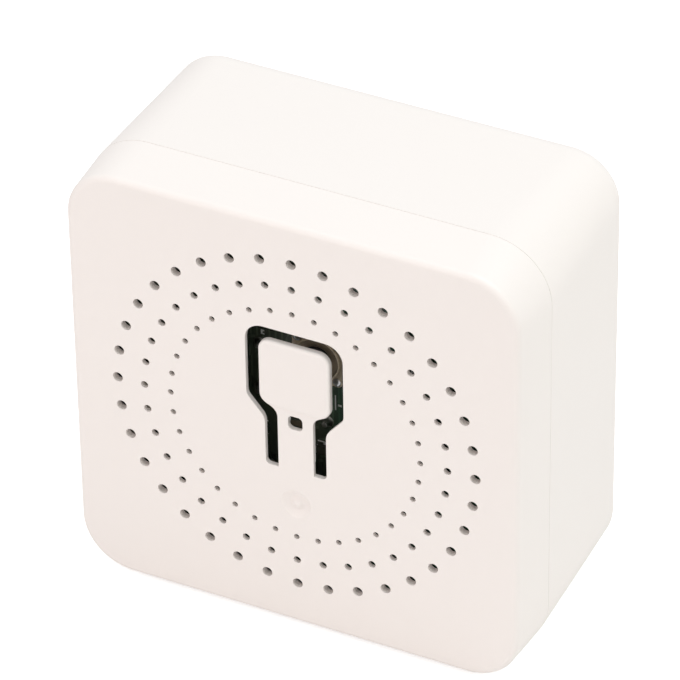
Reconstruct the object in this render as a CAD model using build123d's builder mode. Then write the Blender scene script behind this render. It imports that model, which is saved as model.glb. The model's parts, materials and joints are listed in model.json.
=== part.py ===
from build123d import *
import math
import os

# A small mains relay module in a snap-together plastic case, standing as a wall box holds it.
# Millimetres. X to the right, Y to the back, Z up. The origin is under the middle, at the lowest point.
# A depth is measured back from the flat front face, a rise up from the middle of the case.

# Case, outer form
seam_width = 45.0
front_taper = 0.5
rear_taper = 0.6
body_depth = 22.7
cover_depth = 5.7
front_corner_radius = 5.0
seam_corner_radius = 5.9
rear_corner_radius = 4.8
front_edge_radius = 0.6
rear_edge_radius = 1.6
seam_gap = 0.06

# Case, walls and parting lip
cover_wall = 1.1
panel_wall = 0.45
panel_radius = 19.3
side_wall = 1.5
rear_wall = 1.6
lip_thickness = 0.7
lip_height = 1.2
lip_clearance = 0.1

# Vent rings, and where the middle of the face pattern lies
pattern_x = 0.2
tongue_x = 0.3
pattern_rise = 0.3
vents_per_ring = 36
outer_ring_radius = 17.7
middle_ring_radius = 15.0
inner_ring_radius = 12.35
outer_vent_diameter = 1.0
middle_vent_diameter = 0.74
inner_vent_diameter = 0.58

# Gate dish in the front face
dish_drop = 8.65
dish_diameter = 3.0
dish_depth = 0.5
dish_nub_diameter = 0.7
dish_nub_height = 0.3
dish_boss_diameter = 4.4

# Slot round the push pad
slot_head_width = 9.6
slot_head_top = 10.2
slot_head_radius = 1.75
slot_shoulder_rise = 2.3
slot_shoulder_radius = 1.1
slot_shoulder_fall = 2.1
slot_hip_radius = 1.5
slot_neck_width = 6.05
slot_foot_drop = 4.9
slot_foot_radius = 0.45

# Push pad and its neck
pad_width = 7.0
pad_top = 8.9
pad_bottom = 1.8
pad_hip_rise = 2.3
pad_waist_rise = 1.3
pad_top_radius = 1.15
pad_hip_radius = 1.15
pad_waist_radius = 1.15
pad_proud = 0.2
pad_edge_radius = 0.3
neck_width = 3.5
neck_root_length = 1.4
neck_root_thickness = 0.35
window_width = 1.45
window_height = 1.45
window_rise = 0.45
window_radius = 0.45
nub_diameter = 2.2
nub_edge_radius = 0.4
nub_gap = 0.05

# Snap hooks on the cover and their pockets in the case
hook_width = 4.0
hook_thickness = 1.0
hook_reach = 4.0
hook_nose = 1.7
hook_land = 0.4
hook_lead = 0.3
barb_depth = 0.45
hook_clearance = 0.12
side_hook_shares = (-0.2, 0.56)
top_hook_shares = (-0.5, 0.5)

# Main board and what clamps it
board_stand_off = 3.6
board_thickness = 1.2
board_edge_gap = 0.25
board_corner_radius = 3.2
post_inset = 2.5
post_diameter = 3.4
peg_diameter = 1.5
peg_clearance = 0.12
press_pin_diameter = 2.4
creepage_slot_length = 7.5
creepage_slot_width = 1.0
creepage_slot_inset = 3.2

# Tact switch behind the pad
switch_x = 1.15
switch_rise = 6.2
switch_width = 5.2
switch_corner_radius = 0.5
switch_base_height = 1.6
switch_cavity_depth = 1.15
switch_plate_thickness = 0.25
switch_plate_inset = 0.15
stem_diameter = 2.6
stem_proud = 0.6
stem_edge_radius = 0.15
flange_diameter = 3.6
flange_thickness = 0.4
plunger_clearance = 0.06
switch_leg_width = 0.7
switch_leg_length = 0.9
switch_leg_thickness = 0.3
switch_leg_spacing = 3.7

# Indicator
led_length = 1.6
led_width = 0.9
led_height = 0.75
led_lens_share = 0.6

# Terminal block
pole_count = 5
pole_pitch = 7.5
block_depth = 9.6
block_height = 12.0
block_edge_gap = 0.25
block_side_gap = 0.6
block_edge_chamfer = 0.4
block_corner_radius = 3.0
cavity_floor = 1.1
cavity_back_wall = 1.0
cavity_height = 8.1
cavity_clearance = 0.15
cage_width = 5.6
cage_length = 5.2
cage_height = 5.4
cage_side_wall = 1.0
cage_bottom_wall = 1.0
cage_top_wall = 1.2
cage_mouth_inset = 0.9
cage_edge_radius = 0.4
cage_lift_clearance = 0.1
screw_diameter = 3.0
screw_clearance = 0.06
screw_head_diameter = 4.0
screw_head_height = 1.9
screw_head_sink = 0.4
screw_slot_width = 0.7
screw_slot_depth = 0.9
screw_cross_length = 2.6
strip_thickness = 1.0
strip_clearance = 0.1
strip_leg_width = 2.0
strip_leg_thickness = 0.9
strip_leg_gap = 0.5

# Wire entries and screwdriver wells in the case
entry_width = 4.6
entry_height = 3.8
entry_radius = 0.9
entry_flare = 0.5
well_bore = 3.9
well_wall = 0.8
well_gap = 0.1
well_mouth_chamfer = 0.3

# Relay
relay_length = 20.2
relay_width = 12.4
relay_head_gap = 0.3
relay_wall = 0.6
relay_corner_radius = 0.8
relay_base_height = 2.0
relay_base_clearance = 0.05
bobbin_wall = 0.55
coil_flange_width = 9.0
coil_flange_thickness = 0.7
coil_inset = 6.6
winding_diameter = 8.2
pole_diameter = 4.0
pole_clearance = 0.05
yoke_thickness = 1.2
yoke_width = 5.6
yoke_leg_gap = 0.1
armature_thickness = 1.1
armature_head_room = 1.2
armature_gap = 0.45
armature_overhang = 0.6
armature_seat_gap = 0.03
contact_spring_thickness = 0.2
contact_spring_width = 4.4
contact_rivet_diameter = 2.6
contact_rivet_height = 0.5
contact_gap = 0.95
contact_blade_thickness = 0.8
contact_blade_width = 3.6
contact_blade_inset = 0.3
contact_blade_clearance = 0.1
coil_pin_diameter = 0.8
coil_pin_spacing = 7.2
coil_pin_offset = 3.7

# Parts of the mains supply on the back of the board
part_gap = 0.4
bulk_diameter = 8.0
bulk_head_gap = 3.0
bulk_crimp_height = 1.6
bulk_crimp_depth = 0.3
bulk_crimp_width = 0.6
bulk_edge_radius = 0.5
bulk_lead_spacing = 3.5
output_diameter = 6.3
output_head_gap = 4.4
output_lead_spacing = 2.5
output_x = 2.4
output_rise = -1.9
choke_diameter = 8.0
choke_height = 9.0
choke_flange = 1.2
choke_waist_diameter = 4.0
choke_winding_diameter = 7.0
choke_lead_spacing = 5.0
choke_x = -5.5
varistor_diameter = 7.6
varistor_thickness = 4.2
varistor_edge_radius = 1.0
varistor_stand_off = 1.2
varistor_leg_diameter = 0.6
varistor_leg_spacing = 5.0
x_capacitor_length = 10.4
x_capacitor_width = 5.0
x_capacitor_height = 9.0
x_capacitor_edge_radius = 0.5
x_capacitor_lead_spacing = 7.5
fuse_diameter = 3.4
fuse_body_height = 8.6
fuse_stand_off = 0.9
fuse_end_radius = 0.6
fuse_lead_diameter = 0.6
fuse_lead_loop = 1.2
fuse_lead_bend = 0.9
rectifier_length = 4.8
rectifier_width = 3.9
rectifier_height = 2.4
converter_length = 4.9
converter_width = 3.9
converter_height = 1.5
package_lift = 0.15
package_chamfer = 0.3
rectifier_lead_pitch = 2.5
converter_lead_pitch = 1.27
package_lead_width = 0.45
package_lead_length = 0.9
package_lead_thickness = 0.25

# Radio board on the front of the main board
radio_width = 11.0
radio_height = 15.8
radio_thickness = 0.8
radio_edge_gap = 0.5
radio_rise = -1.0
radio_pad_notch = 0.5
radio_pad_pitch = 1.6
radio_pads = 7
shield_width = 9.4
shield_length = 9.8
shield_height = 1.7
shield_wall = 0.2
shield_corner_radius = 0.8
shield_inset = 0.6
radio_chip_width = 5.0
radio_chip_height = 0.8

# Chip parts and solder on the front of the main board
chip_length = 1.6
chip_width = 0.8
chip_height = 0.5
chip_shares = (
    (0.33, 0.33),
    (0.33, 0.23),
    (0.33, 0.13),
    (0.44, 0.28),
    (0.54, 0.33),
    (0.44, -0.08),
    (0.54, -0.08),
    (0.44, -0.2),
    (-0.09, -0.135),
    (0.04, -0.26),
    (-0.28, -0.23),
    (0.62, -0.18),
)
solder_foot_diameter = 1.4
solder_tip_diameter = 0.7
solder_height = 0.6

# What is left of the width beside the relay's row, and of the room behind the terminal block
row_spare = 7.0
well_room = 3.2

# How far every cut runs past the solid it cuts
overrun = 1.0

# Places that follow from the sizes above
centre_z = seam_width / 2
front_y = -(body_depth + pad_proud) / 2 + pad_proud
case_length = body_depth - cover_depth
rear_inner = body_depth - rear_wall
board_front = cover_wall + board_stand_off
board_back = board_front + board_thickness
part_room = rear_inner - board_back

# Parts inside keep their share of the room when the case changes
row_width = relay_length + bulk_diameter + 2 * post_diameter + 2 * side_wall + row_spare
across = seam_width / row_width
hook_width *= across
post_inset *= across
switch_x *= across
switch_rise *= across
switch_width *= across
switch_leg_spacing *= across
stem_diameter *= across
flange_diameter *= across
nub_diameter *= across
block_depth *= across
pole_pitch *= across
cage_width *= across
cage_length *= across
cage_mouth_inset *= across
screw_diameter *= across
screw_head_diameter *= across
screw_cross_length *= across
strip_leg_width *= across
strip_leg_gap *= across
entry_width *= across
well_bore *= across
relay_length *= across
relay_width *= across
coil_flange_width *= across
coil_inset *= across
winding_diameter *= across
pole_diameter *= across
yoke_width *= across
yoke_thickness *= across
contact_spring_width *= across
contact_rivet_diameter *= across
contact_blade_width *= across
coil_pin_spacing *= across
coil_pin_offset *= across
bulk_diameter *= across
bulk_lead_spacing *= across
output_diameter *= across
output_lead_spacing *= across
output_x *= across
output_rise *= across
choke_diameter *= across
choke_waist_diameter *= across
choke_winding_diameter *= across
choke_lead_spacing *= across
choke_x *= across
varistor_diameter *= across
varistor_thickness *= across
varistor_edge_radius *= across
varistor_leg_spacing *= across
x_capacitor_length *= across
x_capacitor_width *= across
x_capacitor_lead_spacing *= across
fuse_diameter *= across
fuse_lead_loop *= across
fuse_lead_bend *= across
rectifier_length *= across
rectifier_width *= across
rectifier_lead_pitch *= across
converter_length *= across
converter_width *= across
converter_lead_pitch *= across
package_lead_length *= across
radio_width *= across
radio_height *= across
radio_rise *= across
radio_pad_pitch *= across
shield_width *= across
shield_length *= across
radio_chip_width *= across
creepage_slot_length *= across
creepage_slot_inset *= across
upright = part_room / (block_height + well_room)
block_height *= upright
cavity_floor *= upright
cavity_height *= upright
cage_height *= upright
cage_bottom_wall *= upright
cage_top_wall *= upright
screw_head_height *= upright
screw_head_sink *= upright
screw_slot_depth *= upright
strip_thickness *= upright
entry_height *= upright


def seam_half_at(depth):
    """Half the outer width of the case at a depth behind the parting line."""
    return seam_width / 2 - rear_taper * (depth - cover_depth) / case_length


room_half = seam_half_at(rear_inner) - side_wall
hook_end = cover_depth + hook_reach
hook_catch = hook_end - hook_nose
hook_outer = seam_half_at(hook_end) - side_wall - hook_clearance
hook_inner = hook_outer - hook_thickness
board_half = hook_inner - board_edge_gap


def at_depth(depth):
    """Plane that faces the front, a depth behind it: x to the right, y up, from the case's middle."""
    return Plane(origin=(0, front_y + depth, centre_z), x_dir=(1, 0, 0), z_dir=(0, -1, 0))


def on_pattern(depth):
    """The same kind of plane, with the middle of the vent rings as its origin."""
    return Plane(
        origin=(pattern_x, front_y + depth, centre_z + pattern_rise), x_dir=(1, 0, 0), z_dir=(0, -1, 0)
    )


def on_tongue(depth):
    """The same kind of plane, with the middle line of the tongue as its x."""
    return Plane(
        origin=(tongue_x, front_y + depth, centre_z + pattern_rise), x_dir=(1, 0, 0), z_dir=(0, -1, 0)
    )


def across_wall(angle, along):
    """Plane square to one side wall: x outwards, y to the back, from the case's middle line."""
    out = (math.cos(angle), 0, math.sin(angle))
    side = (-math.sin(angle), 0, math.cos(angle))
    origin = (along * side[0], front_y, centre_z + along * side[2])
    return Plane(origin=origin, x_dir=out, z_dir=(-out[2], 0, out[0]))


def save(piece, name):
    piece.label = name
    export_step(piece, "parts/" + name + ".step")


def rounded_square(half, radius):
    RectangleRounded(2 * half, 2 * half, radius)


hook_walls = (
    [(0, share * board_half) for share in side_hook_shares]
    + [(math.pi, -share * board_half) for share in side_hook_shares]
    + [(math.pi / 2, share * board_half) for share in top_hook_shares]
)

os.makedirs("parts", exist_ok=True)

# Front cover
front_half = seam_width / 2 - front_taper
with BuildPart() as front_cover:
    with BuildSketch(at_depth(0)):
        rounded_square(front_half, front_corner_radius)
    with BuildSketch(at_depth(cover_depth)):
        rounded_square(seam_width / 2, seam_corner_radius)
    loft(ruled=True)
    fillet(front_cover.edges().group_by(Axis.Y)[0], front_edge_radius)
    wall_at_face = front_half + front_taper * cover_wall / cover_depth - side_wall
    with BuildSketch(at_depth(cover_wall)):
        rounded_square(wall_at_face, front_corner_radius - side_wall)
    with BuildSketch(at_depth(cover_depth)):
        rounded_square(seam_width / 2 - side_wall, seam_corner_radius - side_wall)
    loft(ruled=True, mode=Mode.SUBTRACT)
    lip_half = seam_width / 2 - side_wall + lip_thickness
    lip_radius = seam_corner_radius - side_wall + lip_thickness
    with BuildSketch(at_depth(cover_depth - lip_height - lip_clearance)):
        rounded_square(lip_half + lip_clearance, lip_radius + lip_clearance)
    extrude(amount=-(lip_height + lip_clearance + overrun), mode=Mode.SUBTRACT)
    # A thinner panel behind the pattern, with a boss left behind the gate
    with BuildSketch(at_depth(panel_wall)):
        Circle(panel_radius)
        with Locations((pattern_x, pattern_rise - dish_drop)):
            Circle(dish_boss_diameter / 2, mode=Mode.SUBTRACT)
    extrude(amount=panel_wall - cover_wall, mode=Mode.SUBTRACT)
    # Snap hooks: a blade along the inside of the skirt with a barb near its end
    for angle, along in hook_walls:
        with BuildSketch(across_wall(angle, along)):
            with BuildLine():
                Polyline(
                    (hook_inner, cover_wall / 2),
                    (hook_inner, hook_end),
                    (hook_outer - hook_lead, hook_end),
                    (hook_outer + barb_depth, hook_catch + hook_land),
                    (hook_outer + barb_depth, hook_catch),
                    (hook_outer, hook_catch),
                    (hook_outer, cover_wall / 2),
                    close=True,
                )
            make_face()
        extrude(amount=hook_width / 2, both=True)
    # Pins that press the board on to the posts and the terminal block
    pin_place = board_half - post_inset
    with BuildSketch(at_depth(cover_wall / 2)):
        with GridLocations(2 * pin_place, 2 * pin_place, 2, 2):
            Circle(press_pin_diameter / 2)
    extrude(amount=-(board_front - cover_wall / 2))
    with BuildSketch(on_pattern(0)):
        for ring, diameter in (
            (outer_ring_radius, outer_vent_diameter),
            (middle_ring_radius, middle_vent_diameter),
            (inner_ring_radius, inner_vent_diameter),
        ):
            with PolarLocations(ring, vents_per_ring):
                Circle(diameter / 2)
    extrude(amount=-(cover_wall + overrun), mode=Mode.SUBTRACT)
    # Slot, cut whole here: the tongue is a piece of its own
    head = slot_head_width / 2
    waist = slot_neck_width / 2
    hip = slot_shoulder_rise - slot_shoulder_fall
    with BuildSketch(on_tongue(0)) as slot:
        with BuildLine():
            Polyline(
                (waist, -slot_foot_drop),
                (waist, hip),
                (head, slot_shoulder_rise),
                (head, slot_head_top),
                (-head, slot_head_top),
                (-head, slot_shoulder_rise),
                (-waist, hip),
                (-waist, -slot_foot_drop),
                close=True,
            )
        make_face()
        fillet(slot.vertices().group_by(Axis.Y)[3], slot_head_radius)
        fillet(slot.vertices().group_by(Axis.Y)[2], slot_shoulder_radius)
        fillet(slot.vertices().group_by(Axis.Y)[1], slot_hip_radius)
        fillet(slot.vertices().group_by(Axis.Y)[0], slot_foot_radius)
    extrude(amount=-(cover_wall + overrun), mode=Mode.SUBTRACT)
    # Gate dish with its nub
    ball_radius = (dish_diameter**2 / 4 + dish_depth**2) / (2 * dish_depth)
    dish_z = centre_z + pattern_rise - dish_drop
    with Locations((pattern_x, front_y + dish_depth - ball_radius, dish_z)):
        Sphere(ball_radius, mode=Mode.SUBTRACT)
    with BuildSketch(on_pattern(dish_depth - dish_nub_height)):
        with Locations((0, -dish_drop)):
            Circle(dish_nub_diameter / 2)
    extrude(amount=-(dish_nub_height + (cover_wall - dish_depth) / 2))
save(front_cover.part, "front_cover")

# Push pad on its neck
nub_tip = board_front - switch_base_height - switch_plate_thickness - stem_proud - nub_gap
nub_x = switch_x - tongue_x
nub_rise = switch_rise - pattern_rise
half_pad = pad_width / 2
half_neck = neck_width / 2
with BuildSketch() as tongue_outline:
    with BuildLine():
        Polyline(
            (half_neck, -slot_foot_drop),
            (half_neck, pad_waist_rise),
            (half_pad, pad_hip_rise),
            (half_pad, pad_top),
            (-half_pad, pad_top),
            (-half_pad, pad_hip_rise),
            (-half_neck, pad_waist_rise),
            (-half_neck, -slot_foot_drop),
            close=True,
        )
    make_face()
    fillet(tongue_outline.vertices().group_by(Axis.Y)[3], pad_top_radius)
    fillet(tongue_outline.vertices().group_by(Axis.Y)[2], pad_hip_radius)
    fillet(tongue_outline.vertices().group_by(Axis.Y)[1], pad_waist_radius)

with BuildPart() as button_tongue:
    # The pad stands a little proud of the face, with soft edges
    with BuildSketch(on_tongue(-pad_proud)):
        add(tongue_outline.sketch)
        with Locations((0, pad_bottom)):
            Rectangle(
                pad_width,
                pad_bottom + slot_foot_drop,
                align=(Align.CENTER, Align.MAX),
                mode=Mode.SUBTRACT,
            )
    extrude(amount=-(pad_proud + panel_wall))
    fillet(button_tongue.faces().sort_by(Axis.Y)[0].edges(), pad_edge_radius)
    with BuildSketch(on_tongue(0)):
        add(tongue_outline.sketch)
        with Locations((0, pad_bottom + pad_edge_radius)):
            Rectangle(pad_width, pad_top, align=(Align.CENTER, Align.MIN), mode=Mode.SUBTRACT)
    extrude(amount=-panel_wall)
    with BuildSketch(on_tongue(0)):
        with Locations((0, window_rise)):
            RectangleRounded(window_width, window_height, window_radius)
    extrude(amount=-(cover_wall + overrun), mode=Mode.SUBTRACT)
    # The neck is thinner at its root, where it bends
    with BuildSketch(on_tongue(neck_root_thickness)):
        with Locations((0, neck_root_length / 2 - slot_foot_drop)):
            Rectangle(neck_width + overrun, neck_root_length)
    extrude(amount=-(cover_wall + overrun), mode=Mode.SUBTRACT)
    with BuildSketch(on_tongue(panel_wall)):
        with Locations((nub_x, nub_rise)):
            Circle(nub_diameter / 2)
    extrude(amount=-(nub_tip - panel_wall))
    fillet(button_tongue.faces().sort_by(Axis.Y)[-1].edges(), nub_edge_radius)
save(button_tongue.part, "button_tongue")

# Terminal places, used by the case, the block and what is in it
block_front = board_back
block_rear = block_front + block_height
block_half = room_half - block_side_gap
block_bottom = -room_half + block_edge_gap
cavity_front = block_front + cavity_floor
cavity_rear = cavity_front + cavity_height
cage_front = cavity_front + cage_lift_clearance
strip_rear = cage_front + cage_height - cage_top_wall - strip_clearance
strip_front = strip_rear - strip_thickness
wire_front = cage_front + cage_bottom_wall
entry_depth = (wire_front + strip_front) / 2
screw_rise = block_bottom + cage_mouth_inset + cage_length / 2
pole_x = [(index - (pole_count - 1) / 2) * pole_pitch for index in range(pole_count)]

# Rear case
with BuildPart() as rear_case:
    with BuildSketch(at_depth(cover_depth + seam_gap)):
        rounded_square(seam_width / 2, seam_corner_radius)
    with BuildSketch(at_depth(body_depth)):
        rounded_square(seam_width / 2 - rear_taper, rear_corner_radius)
    loft(ruled=True)
    fillet(rear_case.edges().group_by(Axis.Y)[-1], rear_edge_radius)
    with BuildSketch(at_depth(cover_depth)):
        rounded_square(seam_width / 2 - side_wall, seam_corner_radius - side_wall)
    with BuildSketch(at_depth(rear_inner)):
        rounded_square(room_half, rear_corner_radius - side_wall)
    loft(ruled=True, mode=Mode.SUBTRACT)
    # Lip that stands into the cover
    with BuildSketch(at_depth(cover_depth - lip_height)):
        rounded_square(lip_half, lip_radius)
        RectangleRounded(
            seam_width - 2 * side_wall,
            seam_width - 2 * side_wall,
            seam_corner_radius - side_wall,
            mode=Mode.SUBTRACT,
        )
    extrude(amount=-(lip_height + seam_gap))
    # Pockets that the barbs snap into
    for angle, along in hook_walls:
        with BuildSketch(across_wall(angle, along)):
            with BuildLine():
                Polyline(
                    (hook_inner, hook_catch - hook_clearance),
                    (hook_outer + barb_depth + hook_clearance, hook_catch - hook_clearance),
                    (hook_outer + barb_depth + hook_clearance, hook_end + hook_clearance),
                    (hook_inner, hook_end + hook_clearance),
                    close=True,
                )
            make_face()
        extrude(amount=hook_width / 2 + hook_clearance, both=True, mode=Mode.SUBTRACT)
    # Two posts under the board's upper corners, each with a locating peg
    with BuildSketch(at_depth(board_back)):
        with Locations((-pin_place, pin_place), (pin_place, pin_place)):
            Circle(post_diameter / 2)
    extrude(amount=-(part_room + rear_wall / 2))
    with BuildSketch(at_depth(board_front)):
        with Locations((-pin_place, pin_place), (pin_place, pin_place)):
            Circle(peg_diameter / 2)
    extrude(amount=-(board_thickness + post_diameter))
    # Wells that guide a screwdriver to each screw and bear on the block
    with BuildSketch(at_depth(block_rear + well_gap)):
        with Locations(*[(x, screw_rise) for x in pole_x]):
            Circle(well_bore / 2 + well_wall)
    extrude(amount=-(rear_inner + rear_wall / 2 - block_rear - well_gap))
    with BuildSketch(at_depth(block_rear)):
        with Locations(*[(x, screw_rise) for x in pole_x]):
            Circle(well_bore / 2)
    extrude(amount=-(body_depth - block_rear + overrun), mode=Mode.SUBTRACT)
    mouths = rear_case.faces().sort_by(Axis.Y)[-1].inner_wires().edges()
    chamfer(mouths, well_mouth_chamfer)
    # Wire entries through the bottom wall, flared outside
    entry_mouth = centre_z - seam_half_at(entry_depth)
    with BuildSketch(Plane.XY.offset(-overrun)):
        with Locations(*[(x, front_y + entry_depth) for x in pole_x]):
            RectangleRounded(entry_width, entry_height, entry_radius)
    extrude(amount=overrun + side_wall + rear_taper, mode=Mode.SUBTRACT)
    mouth_width = entry_width + 2 * entry_flare
    mouth_height = entry_height + 2 * entry_flare
    for x in pole_x:
        with BuildSketch(Plane.XY):
            with Locations((x, front_y + entry_depth)):
                RectangleRounded(mouth_width, mouth_height, entry_radius + entry_flare)
        with BuildSketch(Plane.XY.offset(entry_mouth + entry_flare)):
            with Locations((x, front_y + entry_depth)):
                RectangleRounded(entry_width, entry_height, entry_radius)
        loft(ruled=True, mode=Mode.SUBTRACT)
save(rear_case.part, "rear_case")

# Places on the board
relay_half = relay_length / 2
relay_x = pin_place - post_diameter / 2 - part_gap - relay_half
relay_rise = board_half - part_gap - relay_width / 2
relay_foot = relay_rise - relay_width / 2
bulk_x = board_half - part_gap - bulk_diameter / 2
bulk_places = (
    (-bulk_x, pin_place - (post_diameter + bulk_diameter) / 2 - part_gap),
    (bulk_x, relay_foot - part_gap - bulk_diameter / 2),
)
choke_place = (choke_x, relay_foot - part_gap - choke_diameter / 2)
output_place = (output_x, output_rise)
block_top = block_bottom + block_depth
row_rise = block_top + part_gap
x_capacitor_place = (board_half - 2 * part_gap - x_capacitor_length / 2, row_rise + x_capacitor_width / 2)
varistor_x = x_capacitor_place[0] - (x_capacitor_length + varistor_diameter) / 2 - part_gap
varistor_place = (varistor_x, row_rise + varistor_thickness / 2)
fuse_x = varistor_x - (varistor_diameter + fuse_diameter) / 2 - part_gap
fuse_place = (fuse_x, row_rise + fuse_diameter / 2)
package_x = -board_half + part_gap + package_lead_length + rectifier_length / 2
rectifier_drop = (bulk_diameter + rectifier_width) / 2 + package_lead_length + part_gap
rectifier_rise = bulk_places[0][1] - rectifier_drop
converter_drop = (rectifier_width + converter_width) / 2 + 2 * package_lead_length + part_gap
converter_rise = rectifier_rise - converter_drop

# Main board
with BuildPart() as main_board:
    with BuildSketch(at_depth(board_front)):
        rounded_square(board_half, board_corner_radius)
        with Locations((-pin_place, pin_place), (pin_place, pin_place)):
            Circle(peg_diameter / 2 + peg_clearance, mode=Mode.SUBTRACT)
        with Locations((relay_x + creepage_slot_inset, relay_rise)):
            SlotOverall(creepage_slot_length, creepage_slot_width, rotation=90, mode=Mode.SUBTRACT)
    extrude(amount=-board_thickness)
save(main_board.part, "main_board")

# Tact switch
with BuildPart() as switch_base:
    with BuildSketch(at_depth(board_front)):
        with Locations((switch_x, switch_rise)):
            RectangleRounded(switch_width, switch_width, switch_corner_radius)
    extrude(amount=switch_base_height)
    with BuildSketch(at_depth(board_front - switch_base_height)):
        with Locations((switch_x, switch_rise)):
            Circle(flange_diameter / 2 + plunger_clearance)
    extrude(amount=-switch_cavity_depth, mode=Mode.SUBTRACT)
    # Soldered legs that come out of both sides of the base
    with BuildSketch(at_depth(board_front)):
        with Locations((switch_x, switch_rise)):
            with GridLocations(switch_width + switch_leg_length, switch_leg_spacing, 2, 2):
                Rectangle(switch_leg_length, switch_leg_width)
    extrude(amount=switch_leg_thickness)
save(switch_base.part, "switch_base")

plate_width = switch_width - 2 * switch_plate_inset
with BuildPart() as switch_plate:
    with BuildSketch(at_depth(board_front - switch_base_height)):
        with Locations((switch_x, switch_rise)):
            RectangleRounded(plate_width, plate_width, switch_corner_radius)
            Circle(stem_diameter / 2 + plunger_clearance, mode=Mode.SUBTRACT)
    extrude(amount=switch_plate_thickness)
save(switch_plate.part, "switch_plate")

with BuildPart() as switch_plunger:
    with BuildSketch(at_depth(board_front - switch_base_height + plunger_clearance)):
        with Locations((switch_x, switch_rise)):
            Circle(flange_diameter / 2)
    extrude(amount=-flange_thickness)
    with BuildSketch(at_depth(board_front - switch_base_height + plunger_clearance)):
        with Locations((switch_x, switch_rise)):
            Circle(stem_diameter / 2)
    extrude(amount=plunger_clearance + switch_plate_thickness + stem_proud)
    fillet(switch_plunger.faces().sort_by(Axis.Y)[0].edges(), stem_edge_radius)
save(switch_plunger.part, "switch_plunger")

# Indicator behind the window
led_place = (tongue_x, pattern_rise + window_rise)
with BuildPart() as indicator_led:
    with BuildSketch(at_depth(board_front)):
        with Locations(led_place):
            Rectangle(led_length, led_width)
    extrude(amount=led_height / 2)
    with BuildSketch(at_depth(board_front - led_height / 2)):
        with Locations(led_place):
            Rectangle(led_lens_share * led_length, led_width)
    extrude(amount=led_height / 2)
save(indicator_led.part, "indicator_led")

# Terminal block: one moulding with a cavity, a screw well and a leg slot for each pole
cavity_half = cage_width / 2 + cavity_clearance
cavity_top = block_top - cavity_back_wall
leg_rise = screw_rise + cage_length / 2 + strip_leg_gap + strip_leg_thickness / 2
with BuildPart() as terminal_block:
    with BuildSketch(at_depth(block_front)) as block_outline:
        with Locations((0, block_bottom + block_depth / 2)):
            Rectangle(2 * block_half, block_depth)
        fillet(block_outline.vertices().group_by(Axis.Y)[0], block_corner_radius)
    extrude(amount=-block_height)
    chamfer(terminal_block.faces().sort_by(Axis.Y)[-1].edges(), block_edge_chamfer)
    with BuildSketch(at_depth(cavity_front)):
        with Locations(*[(x, (cavity_top + block_bottom - overrun) / 2) for x in pole_x]):
            Rectangle(2 * cavity_half, cavity_top - block_bottom + overrun)
    extrude(amount=-cavity_height, mode=Mode.SUBTRACT)
    with BuildSketch(at_depth(cavity_front)):
        with Locations(*[(x, leg_rise) for x in pole_x]):
            Rectangle(strip_leg_width + 2 * strip_clearance, strip_leg_thickness + 2 * strip_clearance)
    extrude(amount=cavity_floor + overrun, mode=Mode.SUBTRACT)
    with BuildSketch(at_depth(cavity_rear - overrun)):
        with Locations(*[(x, screw_rise) for x in pole_x]):
            Circle(screw_diameter / 2 + cavity_clearance)
    extrude(amount=-(block_height + overrun), mode=Mode.SUBTRACT)
    with BuildSketch(at_depth(block_rear - screw_head_sink - screw_head_height)):
        with Locations(*[(x, screw_rise) for x in pole_x]):
            Circle(screw_head_diameter / 2 + cavity_clearance)
    extrude(amount=-(screw_head_sink + screw_head_height + overrun), mode=Mode.SUBTRACT)
save(terminal_block.part, "terminal_block")

# Contact strips, one for each pole: a bar across the cage and a leg down to the board
strip_low = block_bottom + cage_mouth_inset
strip_high = screw_rise + cage_length / 2
strip_width = cage_width - 2 * cage_side_wall - 2 * strip_clearance
with BuildPart() as contact_strips:
    for x in pole_x:
        with BuildSketch(Plane.YZ.offset(x)):
            with BuildLine():
                Polyline(
                    (front_y + strip_front, centre_z + strip_low),
                    (front_y + strip_rear, centre_z + strip_low),
                    (front_y + strip_rear, centre_z + leg_rise + strip_leg_thickness / 2),
                    (front_y + block_front, centre_z + leg_rise + strip_leg_thickness / 2),
                    (front_y + block_front, centre_z + leg_rise - strip_leg_thickness / 2),
                    (front_y + strip_front, centre_z + leg_rise - strip_leg_thickness / 2),
                    close=True,
                )
            make_face()
        extrude(amount=strip_leg_width / 2, both=True)
        with BuildSketch(at_depth(strip_front)):
            with Locations((x, (strip_low + strip_high) / 2)):
                Rectangle(strip_width, strip_high - strip_low)
        extrude(amount=-strip_thickness)
save(contact_strips.part, "contact_strips")

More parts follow.
